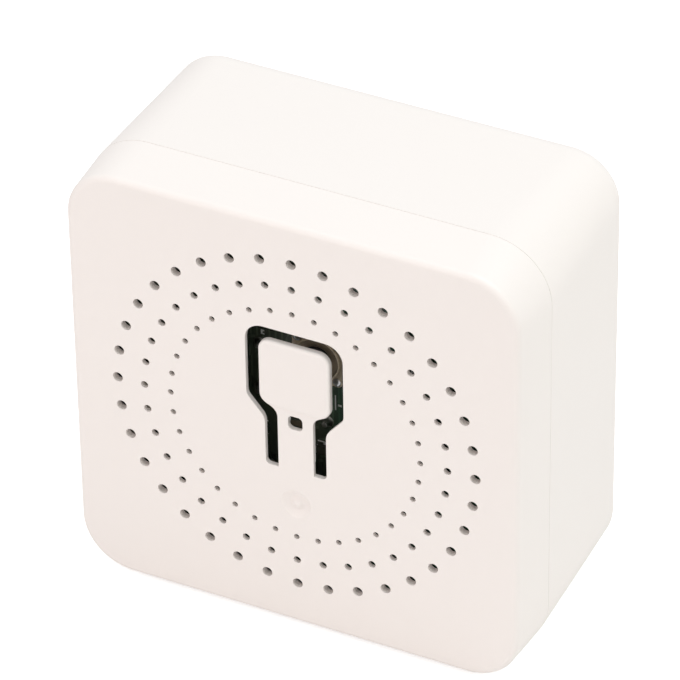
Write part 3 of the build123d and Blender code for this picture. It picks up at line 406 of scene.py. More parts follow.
def clear_resin(name, colour):
    """The lens of the indicator: milky resin over a pale die."""
    cloud_size, cloud_tone, cloud_gloss, cloud_depth, gloss = 0.5 * MM, 0.9, 0.14, 6 * MICRON, 0.16
    look = Finish(name, transmission_weight=0.35, ior=1.5, coat_weight=0.4, coat_roughness=0.05)
    cloud = look.noise(cloud_size, detail=2.0)
    look.set(
        base_color=look.blend(cloud, shade(colour, cloud_tone), colour),
        roughness=gloss + cloud * cloud_gloss,
        normal=look.relief(cloud, cloud_depth),
    )
    return look.material


def floor_paper(name, colour, lift):
    """Pale paper. What the camera sees is lifted to white, and still darkens in a shadow."""
    fibre_size, fibre_tone = 2.5 * MM, 0.99
    look = Finish(name, roughness=0.9, specular_ior_level=0.1)
    fibre = look.noise(fibre_size, detail=3.0)
    look.set(base_color=look.blend(fibre, shade(colour, fibre_tone), colour))
    seen = look.node("ShaderNodeLightPath", output="Is Camera Ray")
    glow = look.node("ShaderNodeEmission", Strength=lift)
    both = look.tree.nodes.new("ShaderNodeAddShader")
    mix = look.tree.nodes.new("ShaderNodeMixShader")
    paper = look.shader.outputs[0]
    for source, place in (
        (paper, both.inputs[0]),
        (glow.socket, both.inputs[1]),
        (seen.socket, mix.inputs["Fac"]),
        (paper, mix.inputs[1]),
        (both.outputs[0], mix.inputs[2]),
        (mix.outputs[0], look.tree.nodes["Material Output"].inputs["Surface"]),
    ):
        look.tree.links.new(source, place)
    return look.material


# ---------------------------------------------------------------- shapes that repeat


class Growth(Growing):
    """A Geometry Nodes tree under construction.

    The sizes and seed objects that it is given become its named inputs.
    """

    def __init__(self, name, **sizes):
        self.tree = bpy.data.node_groups.new(name, "GeometryNodeTree")
        self.tree.is_modifier = True
        sides = self.tree.interface
        sides.new_socket("Geometry", in_out="INPUT", socket_type="NodeSocketGeometry")
        sides.new_socket("Geometry", in_out="OUTPUT", socket_type="NodeSocketGeometry")
        self.values = {}
        kinds = {int: "NodeSocketInt", float: "NodeSocketFloat", bpy.types.Object: "NodeSocketObject"}
        for size_name, value in sizes.items():
            label = size_name.replace("_", " ")
            socket = sides.new_socket(label, in_out="INPUT", socket_type=kinds[type(value)])
            self.values[socket.identifier] = value
        self.way_in = self.tree.nodes.new("NodeGroupInput")

    def given(self, name):
        return Flow(self.tree, self.way_in.outputs[name])

    def seed(self, name):
        """The shape of the object that is given under that name."""
        return self.node("GeometryNodeObjectInfo", output="Geometry", Object=self.given(name))

    def vector(self, x=0.0, y=0.0, z=0.0):
        return self.node("ShaderNodeCombineXYZ", X=x, Y=y, Z=z)

    def circle(self, steps, radius):
        """A round path or section, with as many edges as the input of that name says."""
        return self.node("GeometryNodeCurvePrimitiveCircle", Resolution=self.given(steps), Radius=radius)

    def joined(self, *shapes):
        node = self.tree.nodes.new("GeometryNodeJoinGeometry")
        for shape in shapes:
            self.tree.links.new(shape.socket, node.inputs[0])
        return Flow(self.tree, node.outputs[0])

    def piece(self, name, shape, material, places=()):
        """Runs the tree on an object with those points, and leaves the result as its plain mesh."""
        solid = self.node("GeometryNodeRealizeInstances", Geometry=shape)
        done = self.node("GeometryNodeSetMaterial", Geometry=solid, Material=material)
        way_out = self.tree.nodes.new("NodeGroupOutput")
        self.tree.links.new(done.socket, way_out.inputs[0])
        piece = new_piece(name, places)
        modifier = piece.modifiers.new("growth", "NODES")
        modifier.node_group = self.tree
        for identifier, value in self.values.items():
            modifier[identifier] = value
        grown = piece.evaluated_get(bpy.context.evaluated_depsgraph_get())
        mesh = bpy.data.meshes.new_from_object(grown)
        piece.modifiers.clear()
        piece.data = mesh
        mesh.materials.clear()
        mesh.materials.append(material)
        mesh.polygons.foreach_set("material_index", [0] * len(mesh.polygons))
        soften(mesh)
        return piece


def new_piece(name, points=(), faces=()):
    """An object at the origin, with its place in its mesh."""
    mesh = bpy.data.meshes.new(name)
    mesh.from_pydata([tuple(point) for point in points], [], faces)
    piece = bpy.data.objects.new(name, mesh)
    bpy.context.scene.collection.objects.link(piece)
    return piece


def soften(mesh, angle=math.radians(40)):
    """Smooth faces, with edges kept sharp where they turn more than the angle."""
    mesh.shade_smooth()
    mesh.set_sharp_from_angle(angle=angle)


def turned(name, outline, sides=20):
    """A seed shape: an outline of (radius, y) in millimetres turned round y, closed at both ends."""
    outline = [(radius * MM, y * MM) for radius, y in outline]
    points = [(0.0, outline[0][1], 0.0), (0.0, outline[-1][1], 0.0)]
    for radius, y in outline:
        for side in range(sides):
            angle = 2 * math.pi * side / sides
            points.append((radius * math.cos(angle), y, radius * math.sin(angle)))
    faces = []
    for side in range(sides):
        after = (side + 1) % sides
        faces.append((0, 2 + side, 2 + after))
        for ring in range(len(outline) - 1):
            low, high = 2 + ring * sides, 2 + (ring + 1) * sides
            faces.append((low + side, high + side, high + after, low + after))
        last = 2 + (len(outline) - 1) * sides
        faces.append((1, last + after, last + side))
    return outward(new_piece(name, points, faces))


def bar(name, low, high, bevel):
    """A seed shape: a bar between two corners, with bevelled edges."""
    shape = bmesh.new()
    bmesh.ops.create_cube(shape, size=1.0)
    middle, size = (Vector(low) + Vector(high)) / 2, Vector(high) - Vector(low)
    for vert in shape.verts:
        vert.co = Vector((vert.co.x * size.x, vert.co.y * size.y, vert.co.z * size.z)) + middle
    bmesh.ops.bevel(shape, geom=list(shape.edges), offset=bevel, segments=2, profile=0.5, affect="EDGES")
    piece = new_piece(name)
    shape.to_mesh(piece.data)
    shape.free()
    return outward(piece)


def tube(name, bore, outside, length, sides=24):
    """A seed shape: a tube along y, from 0 to its length, with an inner and an outer radius."""
    corners = ((bore, 0.0), (outside, 0.0), (outside, length), (bore, length))
    points = []
    for side in range(sides):
        angle = 2 * math.pi * side / sides
        points += [(radius * math.cos(angle), y, radius * math.sin(angle)) for radius, y in corners]
    faces = []
    around = len(corners)
    for side in range(sides):
        here, there = side * around, (side + 1) % sides * around
        for corner in range(around):
            after = (corner + 1) % around
            faces.append((here + corner, here + after, there + after, there + corner))
    return outward(new_piece(name, points, faces))


def outward(piece):
    """Welds a seed shape's points and turns its faces outwards."""
    shape = bmesh.new()
    shape.from_mesh(piece.data)
    bmesh.ops.remove_doubles(shape, verts=shape.verts, dist=WELD)
    bmesh.ops.recalc_face_normals(shape, faces=shape.faces)
    shape.to_mesh(piece.data)
    shape.free()
    return piece


def copies(name, seeds, places, material, spread=0.0):
    """Copies of the seed shapes at every place, each a little larger or smaller, as one mesh."""
    # The random node has a least, a most and a result for each kind of data: these are its floats
    least, most, result = 2, 3, 1
    named = {"Seed shape %d" % (place + 1): seed for place, seed in enumerate(seeds)}
    grow = Growth(name.replace("_", " "), **named, Smallest=1.0 - spread, Largest=1.0 + spread)
    scale = grow.node("FunctionNodeRandomValue", {"data_type": "FLOAT"}, output=result, Seed=RANDOM_SEED)
    feed(grow.tree, grow.given("Smallest"), scale.socket.node.inputs[least])
    feed(grow.tree, grow.given("Largest"), scale.socket.node.inputs[most])
    points = grow.node("GeometryNodeMeshToPoints", Mesh=grow.given("Geometry"))
    rows = [
        grow.node("GeometryNodeInstanceOnPoints", Points=points, Instance=grow.seed(label), Scale=scale)
        for label in named
    ]
    piece = grow.piece(name, grow.joined(*rows), material, places)
    for seed in seeds:
        bpy.data.objects.remove(seed)
    return piece


def dress(material, *nodes):
    """Gives CAD nodes a material through their object's material slots."""
    for name in nodes:
        for slot in frame["nodes"][name].material_slots:
            slot.link = "OBJECT"
            slot.material = material


def nodes_of(slot_name):
    """The CAD nodes that have this material slot in the record."""
    return [row["node"] for row in frame["record"]["subparts"] if row["material_slot"] == slot_name]


def solids_of(node):
    """Lowest and highest corner of each separate solid of a CAD node, in order from left to right."""
    decimals = 6
    shape = bmesh.new()
    shape.from_mesh(frame["nodes"][node].data)
    bmesh.ops.remove_doubles(shape, verts=shape.verts, dist=WELD)
    shape.transform(frame["nodes"][node].matrix_world)
    waiting = set(shape.verts)
    boxes = []
    while waiting:
        reached = [waiting.pop()]
        found = list(reached)
        while reached:
            for link in reached.pop().link_edges:
                for vert in link.verts:
                    if vert in waiting:
                        waiting.remove(vert)
                        reached.append(vert)
                        found.append(vert)
        boxes.append(
            [Vector([pick(vert.co[axis] for vert in found) for axis in range(3)]) for pick in (min, max)]
        )
    shape.free()
    return sorted(boxes, key=lambda box: tuple(round(value, decimals) for value in box[0]))


def wound_wire(name, node, wire, material):
    """Turns of wire side by side on a smooth bed, in the room that a plain winding round y holds."""
    bed_inset, bed_over = 0.15, 0.9
    low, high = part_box(node)
    length = high.y - low.y - wire
    grow = Growth(
        "Wound wire",
        Wire=wire,
        Radius=(high.x - low.x) / 2 - wire / 2,
        Length=length,
        Turns=length / wire,
        Steps=44,
        Section_steps=8,
    )
    path = grow.node(
        "GeometryNodeCurveSpiral",
        Resolution=grow.given("Steps"),
        Rotations=grow.given("Turns"),
        Start_Radius=grow.given("Radius"),
        End_Radius=grow.given("Radius"),
        Height=grow.given("Length"),
    )
    section = grow.circle("Section steps", grow.given("Wire") * 0.5)
    turns = grow.node("GeometryNodeCurveToMesh", Curve=path, Profile_Curve=section, Fill_Caps=True)
    bed = grow.node(
        "GeometryNodeMeshCylinder",
        Vertices=grow.given("Steps"),
        Radius=grow.given("Radius") - grow.given("Wire") * bed_inset,
        Depth=grow.given("Length") + grow.given("Wire") * bed_over,
    )
    middle = grow.vector(z=grow.given("Length") * 0.5)
    bed = grow.node("GeometryNodeTransform", Geometry=bed, Translation=middle)
    upright = grow.node(
        "GeometryNodeTransform",
        Geometry=grow.joined(turns, bed),
        Rotation=TO_BACK,
        Translation=((low.x + high.x) / 2, low.y + wire / 2, (low.z + high.z) / 2),
    )
    piece = grow.piece(name, upright, material)
    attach(piece, "housing")
    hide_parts(node)


# ---------------------------------------------------------------- settings


class CaseSettings(bpy.types.PropertyGroup):
    colour: FloatVectorProperty(
        name="Plastic colour",
        description="Colour of the moulded case and the push pad",
        subtype="COLOR",
        size=4,
        min=0.0,
        max=1.0,
        default=(0.885, 0.828, 0.785, 1.0),
    )
    roughness: FloatProperty(
        name="Plastic roughness", description="How dull the case is", default=0.42, min=0.0, max=1.0
    )
    grain: FloatProperty(
        name="Skin grain", description="Size of the mould skin's grain", default=0.12 * MM, unit="LENGTH"
    )
    gate_drop: FloatProperty(
        name="Gate drop",
        description="From the middle of the face down to the moulding gate",
        default=8.35 * MM,
        unit="LENGTH",
    )


class VentSettings(bpy.types.PropertyGroup):
    count: IntProperty(name="Vents", description="How many vents a ring has", default=36, min=3, max=90)
    ring: FloatProperty(
        name="Ring", description="Radius of the outer ring of vents", default=17.7 * MM, unit="LENGTH"
    )
    bore: FloatProperty(name="Bore", description="Diameter of an outer vent", default=1.0 * MM, unit="LENGTH")
    behind: FloatProperty(
        name="Behind the face", description="Where the collars begin", default=0.44 * MM, unit="LENGTH"
    )
    length: FloatProperty(name="Length", description="Of a collar", default=0.27 * MM, unit="LENGTH")
    wall: FloatProperty(name="Wall", description="How thick a collar is", default=0.16 * MM, unit="LENGTH")


class SeamSettings(bpy.types.PropertyGroup):
    behind: FloatProperty(
        name="Behind the face", description="Where the parting line is", default=5.7 * MM, unit="LENGTH"
    )
    gap: FloatProperty(
        name="Gap", description="Width of the parting line", default=0.06 * MM, unit="LENGTH"
    )
    depth: FloatProperty(
        name="Depth",
        description="How deep the two edges meet below the surface",
        default=0.035 * MM,
        unit="LENGTH",
    )
    wall: FloatProperty(
        name="Wall", description="How thick the meeting edges are", default=0.6 * MM, unit="LENGTH"
    )
    corner: FloatProperty(
        name="Corner radius",
        description="Of the case at the parting line",
        default=5.9 * MM,
        unit="LENGTH",
    )
    steps: IntProperty(name="Corner steps", description="Edges in each corner", default=14, min=2, max=60)


class SwitchSettings(bpy.types.PropertyGroup):
    rivet_inset: FloatProperty(
        name="Rivet inset", description="From the plate's edge to a rivet", default=0.5 * MM, unit="LENGTH"
    )
    rim_radius: FloatProperty(
        name="Rim radius", description="Of the rim round the plunger", default=2.1 * MM, unit="LENGTH"
    )
    rim_thickness: FloatProperty(
        name="Rim thickness", description="Of the rolled rim", default=0.2 * MM, unit="LENGTH"
    )


class BoardSettings(bpy.types.PropertyGroup):
    chip_width: FloatProperty(
        name="Chip width", description="Of the small chip parts", default=0.8 * MM, unit="LENGTH"
    )
    chip_height: FloatProperty(
        name="Chip height", description="Of the small chip parts", default=0.5 * MM, unit="LENGTH"
    )
    end_length: FloatProperty(
        name="End length", description="Of a chip part's tinned end", default=0.3 * MM, unit="LENGTH"
    )
    end_proud: FloatProperty(
        name="End proud", description="How far a tinned end stands proud", default=0.02 * MM, unit="LENGTH"
    )
    end_bevel: FloatProperty(
        name="End bevel", description="On a tinned end's edges", default=0.06 * MM, unit="LENGTH"
    )
    print_height: FloatProperty(
        name="Print height", description="Of the print over the board", default=0.03 * MM, unit="LENGTH"
    )
    print_bevel: FloatProperty(
        name="Print bevel", description="On the print's edges", default=0.01 * MM, unit="LENGTH"
    )
    mark_offset: FloatProperty(
        name="Mark offset",
        description="From a chip part's middle to the marks beside it",
        default=0.68 * MM,
        unit="LENGTH",
    )
    mark_width: FloatProperty(
        name="Mark width", description="Of the marks beside a chip part", default=0.14 * MM, unit="LENGTH"
    )
    mark_share: FloatProperty(
        name="Mark share", description="Length of a mark as a share of its chip part", default=0.8
    )
    solder_spread: FloatProperty(
        name="Solder spread", description="How much the soldered feet differ in size", default=0.06
    )


class WindingSettings(bpy.types.PropertyGroup):
    choke_wire: FloatProperty(
        name="Choke wire", description="Diameter of the choke's wire", default=0.5 * MM, unit="LENGTH"
    )
    relay_wire: FloatProperty(
        name="Relay wire", description="Diameter of the relay coil's wire", default=0.18 * MM, unit="LENGTH"
    )


class TerminalSettings(bpy.types.PropertyGroup):
    ridges: IntProperty(name="Ridges", description="Clamping ridges in each cage", default=6, min=1, max=12)
    ridge_pitch: FloatProperty(
        name="Ridge pitch", description="From one ridge to the next", default=0.65 * MM, unit="LENGTH"
    )
    ridge_width: FloatProperty(name="Ridge width", description="Of a ridge", default=0.3 * MM, unit="LENGTH")
    ridge_height: FloatProperty(
        name="Ridge height", description="Over the cage's floor", default=0.07 * MM, unit="LENGTH"
    )
    ridge_root: FloatProperty(
        name="Ridge root", description="How deep a ridge lies in the floor", default=0.05 * MM, unit="LENGTH"
    )
    ridge_bevel: FloatProperty(
        name="Ridge bevel", description="On a ridge's edges", default=0.05 * MM, unit="LENGTH"
    )
    cage_wall: FloatProperty(
        name="Cage wall", description="How thick a cage is", default=1.0 * MM, unit="LENGTH"
    )
    head_height: FloatProperty(
        name="Head height", description="Of the terminal screws' heads", default=1.78 * MM, unit="LENGTH"
    )
    screw_radius: FloatProperty(
        name="Thread radius", description="Outer radius of a screw's thread", default=1.5 * MM, unit="LENGTH"
    )
    thread_pitch: FloatProperty(
        name="Thread pitch", description="Of the terminal screws", default=0.5 * MM, unit="LENGTH"
    )
    thread_depth: FloatProperty(
        name="Thread depth", description="From crest to root", default=0.18 * MM, unit="LENGTH"
    )


class StageSettings(bpy.types.PropertyGroup):
    azimuth: FloatProperty(
        name="Azimuth",
        description="Camera's turn to the right of the front",
        subtype="ANGLE",
        default=math.radians(26.627),
    )
    elevation: FloatProperty(
        name="Elevation",
        description="Camera's height over the level",
        subtype="ANGLE",
        default=math.radians(36.377),
    )
    roll: FloatProperty(
        name="Roll", description="Camera's roll", subtype="ANGLE", default=math.radians(-0.929)
    )
    distance: FloatProperty(
        name="Distance",
        description="From the camera to the middle of the vent rings, along its view",
        unit="LENGTH",
        default=478.898 * MM,
    )
    aside: FloatProperty(
        name="Aside",
        description="How far right of the vent rings the camera looks",
        unit="LENGTH",
        default=4.056 * MM,
    )
    above: FloatProperty(
        name="Above",
        description="How far above the vent rings the camera looks",
        unit="LENGTH",
        default=7.68 * MM,
    )
    lens: FloatProperty(name="Lens", description="Focal length in millimetres", default=286.0)
    ring_middle: FloatVectorProperty(
        name="Ring middle",
        description="What the camera and the lamps are set out from, on the front face",
        subtype="XYZ",
        size=3,
        default=(PATTERN_X, COVER_LOW.y, COVER_MIDDLE_Z + 0.4 * MM),
    )
    sky: FloatProperty(name="Sky strength", description="Even light from all round", default=0.667)
    top_light: FloatProperty(
        name="Top light", description="Power of the large lamp overhead in watts", default=1.64
    )
    left_light: FloatProperty(
        name="Left light", description="Power of the lamp to the camera's left in watts", default=0.81
    )
    right_light: FloatProperty(
        name="Right light", description="Power of the lamp to the camera's right in watts", default=0.3
    )
    top_colour: FloatVectorProperty(
        name="Top colour",
        description="Colour of the lamp overhead",
        subtype="COLOR",
        size=3,
        default=(0.86, 0.945, 1.0),
    )
    left_colour: FloatVectorProperty(
        name="Left colour",
        description="Colour of the lamp to the left",
        subtype="COLOR",
        size=3,
        default=(1.0, 0.81, 0.78),
    )
    right_colour: FloatVectorProperty(
        name="Right colour",
        description="Colour of the lamp to the right",
        subtype="COLOR",
        size=3,
        default=(1.0, 0.88, 0.6),
    )
    floor_size: FloatProperty(
        name="Floor size", description="Side of the square floor", default=3.0, unit="LENGTH"
    )
    floor_colour: FloatVectorProperty(
        name="Floor colour",
        description="Colour of the paper",
        subtype="COLOR",
        size=4,
        default=(0.9, 0.9, 0.9, 1.0),
    )
    floor_lift: FloatProperty(
        name="Floor lift", description="How far the floor is lifted to white for the camera", default=0.58
    )


# ---------------------------------------------------------------- operators


class MODULE_OT_case(bpy.types.Operator):
    """Finish the moulded case and the push pad"""

    bl_idname = "module.case"
    bl_label = "Case"

    def execute(self, context):
        settings = context.scene.module_case
        colour = tuple(settings.colour)
        plastic = moulded_plastic("White plastic", colour, settings.roughness, settings.grain)
        dress(plastic, *nodes_of("case_plastic"))
        # A soft cone round the moulding gate, which stands in the dish
        place = (PATTERN_X, COVER_LOW.y, COVER_MIDDLE_Z - settings.gate_drop)
        gate = copies("gate_cone", [turned("gate cone", GATE_CONE)], [place], plastic)
        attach(gate, "housing")
        return {"FINISHED"}


class MODULE_OT_insides(bpy.types.Operator):
    """Finish the boards, the switch, the terminals and the parts inside"""

    bl_idname = "module.insides"
    bl_label = "Insides"

    def execute(self, context):
        looks = {
            "board": circuit_board(
                "Solder mask",
                (0.064, 0.08, 0.054, 1.0),
                # The greener tone on the right of the board, painted light where the board is lit
                lit_right_colour=(0.034, 0.09, 0.052, 1.0),
                copper_lift=1.7,
                weave=0.35 * MM,
            ),
            "dark_plastic": moulded_plastic("Dark plastic", (0.03, 0.032, 0.031, 1.0), 0.45, 0.1 * MM),
            "tinned_steel": plated_metal("Tinned steel", (0.62, 0.58, 0.5, 1.0), 0.28, 0.09 * MM),
            "led_resin": clear_resin("Indicator resin", (0.88, 0.86, 0.76, 1.0)),
            "terminal_plastic": moulded_plastic("Terminal plastic", (0.03, 0.16, 0.07, 1.0), 0.4, 0.1 * MM),
            "brass": plated_metal("Flashed brass", (0.72, 0.56, 0.3, 1.0), 0.25, 0.11 * MM),
            "relay_plastic": moulded_plastic("Relay plastic", (0.012, 0.014, 0.02, 1.0), 0.3, 0.14 * MM),
            "copper": enamelled_wire("Enamelled copper", (0.6, 0.2, 0.07, 1.0), pitch=0.22 * MM),
            "capacitor_sleeve": shrunk_sleeve(
                "Sleeve", (0.014, 0.016, 0.02, 1.0), stripe=(0.45, 0.45, 0.45, 1.0)
            ),
            "ferrite": moulded_plastic("Ferrite", (0.03, 0.03, 0.032, 1.0), 0.6, 0.2 * MM),
            "varistor_coat": coated_resin("Varistor coat", (0.02, 0.09, 0.33, 1.0), 0.3, 40 * MICRON),
            "yellow_plastic": moulded_plastic("Yellow plastic", (0.68, 0.42, 0.03, 1.0), 0.28, 0.2 * MM),
            "resistor_coat": coated_resin("Resistor coat", (0.12, 0.2, 0.15, 1.0), 0.5, 25 * MICRON),
            "chip_ceramic": fired_ceramic(
                "Chip ceramic", (0.17, 0.14, 0.09, 1.0), other_colour=(0.085, 0.09, 0.065, 1.0)
            ),
            "solder": plated_metal("Solder", (0.7, 0.7, 0.7, 1.0), 0.2, 0.3 * MM),
            "screw_steel": plated_metal("Zinc plate", (0.6, 0.6, 0.58, 1.0), 0.26, 0.07 * MM),
        }
        for slot_name, material in looks.items():
            dress(material, *nodes_of(slot_name))
        dress(plated_metal("Switch steel", (0.86, 0.74, 0.58, 1.0), 0.38, 0.09 * MM), "switch_plate")
        return {"FINISHED"}


class MODULE_OT_vents(bpy.types.Operator):
    """Stand a short collar behind each vent of the outer ring, where the moulding is thicker"""

    bl_idname = "module.vents"
    bl_label = "Vent collars"

    def execute(self, context):
        settings = context.scene.module_vents
        bore = settings.bore / 2
        collar = tube("collar", bore, bore + settings.wall, settings.length)
        grow = Growth("Vent collars", Vents=settings.count, Collar=collar, Ring=settings.ring)
        middle = (PATTERN_X, COVER_LOW.y + settings.behind, COVER_MIDDLE_Z + PATTERN_RISE)
        ring = grow.node("GeometryNodeMeshCircle", Vertices=grow.given("Vents"), Radius=grow.given("Ring"))
        ring = grow.node("GeometryNodeTransform", Geometry=ring, Rotation=TO_FRONT, Translation=middle)
        row = grow.node("GeometryNodeInstanceOnPoints", Points=ring, Instance=grow.seed("Collar"))
        piece = grow.piece("vent_collars", row, bpy.data.materials["White plastic"])
        bpy.data.objects.remove(collar)
        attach(piece, "housing")
        return {"FINISHED"}


class MODULE_OT_seam(bpy.types.Operator):
    """Close the parting line a hair below the surface, as two moulded edges that meet do"""

    bl_idname = "module.seam"
    bl_label = "Parting line"

    def execute(self, context):
        settings = context.scene.module_seam
        inset = settings.depth + settings.wall / 2
        grow = Growth(
            "Parting line",
            Half=(COVER_HIGH.x - COVER_LOW.x) / 2 - inset,
            Corner=settings.corner - inset,
            Steps=settings.steps,
            Wall=settings.wall,
            Gap=settings.gap,
        )
        side = grow.given("Half") * 2
        square = grow.node("GeometryNodeCurvePrimitiveQuadrilateral", Width=side, Height=side)
        path = grow.node(
            "GeometryNodeFilletCurve",
            {"mode": "POLY"},
            Curve=square,
            Count=grow.given("Steps"),
            Radius=grow.given("Corner"),
        )
        section = grow.node(
            "GeometryNodeCurvePrimitiveQuadrilateral", Width=grow.given("Wall"), Height=grow.given("Gap")
        )
        ring = grow.node("GeometryNodeCurveToMesh", Curve=path, Profile_Curve=section)
        place = (0, COVER_LOW.y + settings.behind + settings.gap / 2, COVER_MIDDLE_Z)
        ring = grow.node("GeometryNodeTransform", Geometry=ring, Rotation=TO_FRONT, Translation=place)
        piece = grow.piece("seam_bed", ring, bpy.data.materials["White plastic"])
        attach(piece, "housing")
        return {"FINISHED"}


class MODULE_OT_switch(bpy.types.Operator):
    """Rivets at the corners of the push switch's cover and a rolled rim round its plunger"""

    bl_idname = "module.switch"
    bl_label = "Push switch"

    def execute(self, context):
        settings = context.scene.module_switch
        low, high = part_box("switch_plate")
        middle = (low + high) / 2
        reach = (high.x - low.x) / 2 - settings.rivet_inset
        corners = [(middle.x + x * reach, low.y, middle.z + z * reach) for x in (-1, 1) for z in (-1, 1)]
        head = turned("rivet head", RIVET_HEAD)
        rivets = copies("switch_rivets", [head], corners, bpy.data.materials["Solder"])

        grow = Growth(
            "Rolled rim",
            Radius=settings.rim_radius,
            Thickness=settings.rim_thickness,
            Steps=56,
            Section_steps=10,
        )
        path = grow.circle("Steps", grow.given("Radius"))
        section = grow.circle("Section steps", grow.given("Thickness") * 0.5)
        rim = grow.node("GeometryNodeCurveToMesh", Curve=path, Profile_Curve=section)
        place = (middle.x, low.y, middle.z)
        rim = grow.node("GeometryNodeTransform", Geometry=rim, Rotation=TO_FRONT, Translation=place)
        rim = grow.piece("switch_rim", rim, bpy.data.materials["Switch steel"])
        for piece in (rivets, rim):
            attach(piece, "housing")
        return {"FINISHED"}


class MODULE_OT_board(bpy.types.Operator):
    """Tinned ends on the chip parts, printed marks round them, and soldered pins with drawn-up feet"""

    bl_idname = "module.board"
    bl_label = "Board details"

    def execute(self, context):
        settings = context.scene.module_board
        tin = bpy.data.materials["Solder"]
        print_and_glint_white = coated_resin("Board print", (0.85, 0.87, 0.84, 1.0), 0.5, 4 * MICRON)
        # Solder on the pins, darker and duller than the tin on the chip ends
        darker_solder = plated_metal("Fluxed solder", (0.36, 0.36, 0.33, 1.0), 0.38, 0.3 * MM)
        chips = solids_of("front_passives")
        face = chips[0][1].y
        places = [((low.x + high.x) / 2, face, (low.z + high.z) / 2) for low, high in chips]
        half_length = (chips[0][1].x - chips[0][0].x) / 2
        pieces = [
            copies("chip_ends", self.chip_ends(settings, half_length), places, tin),
            copies("chip_marks", self.chip_marks(settings, half_length), places, print_and_glint_white),
        ]

        # The board's print, and one white patch that is a painted highlight
        print_and_glint_bars = [
            bar(
                "mark",
                (left * MM, -settings.print_height, foot * MM),
                ((left + width) * MM, 0, (foot + height) * MM),
                settings.print_bevel,
            )
            for left, foot, width, height in BOARD_PRINT_AND_GLINT
        ]
        pieces.append(copies("board_marks", print_and_glint_bars, [(0, face, COVER_MIDDLE_Z)], print_and_glint_white))

        foot = turned("drawn foot", SOLDER_FOOT)
        joints = solids_of("solder_joints")
        places = [((low.x + high.x) / 2, high.y, (low.z + high.z) / 2) for low, high in joints]
        solder = copies("soldered_pins", [foot], places, darker_solder, spread=settings.solder_spread)
        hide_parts("solder_joints")
        pieces.append(solder)
        for piece in pieces:
            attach(piece, "housing")
        return {"FINISHED"}

    def chip_ends(self, settings, half_length):
        """The left and the right end of a chip part, each a cap over its body."""
        proud = settings.end_proud
        outer = half_length + proud
        inner = outer - settings.end_length
        half_width = settings.chip_width / 2 + proud
        back = -settings.chip_height - proud
        return [
            bar("chip end", (left, back, -half_width), (right, 0, half_width), settings.end_bevel)
            for left, right in ((-outer, -inner), (inner, outer))
        ]

    def chip_marks(self, settings, half_length):
        """The printed marks below and above a chip part."""
        reach = half_length * settings.mark_share
        half_width = settings.mark_width / 2
        return [
            bar(
                "chip mark",
                (-reach, -settings.print_height, middle - half_width),
                (reach, 0, middle + half_width),
                settings.print_bevel,
            )
            for middle in (-settings.mark_offset, settings.mark_offset)
        ]


class MODULE_OT_windings(bpy.types.Operator):
    """Turns of wire on the choke and on the relay's bobbin"""

    bl_idname = "module.windings"
    bl_label = "Windings"

    def execute(self, context):
        settings = context.scene.module_windings
        wire = bpy.data.materials["Enamelled copper"]
        wound_wire("choke_turns", "choke_winding", settings.choke_wire, wire)
        wound_wire("relay_turns", "relay_winding", settings.relay_wire, wire)
        return {"FINISHED"}


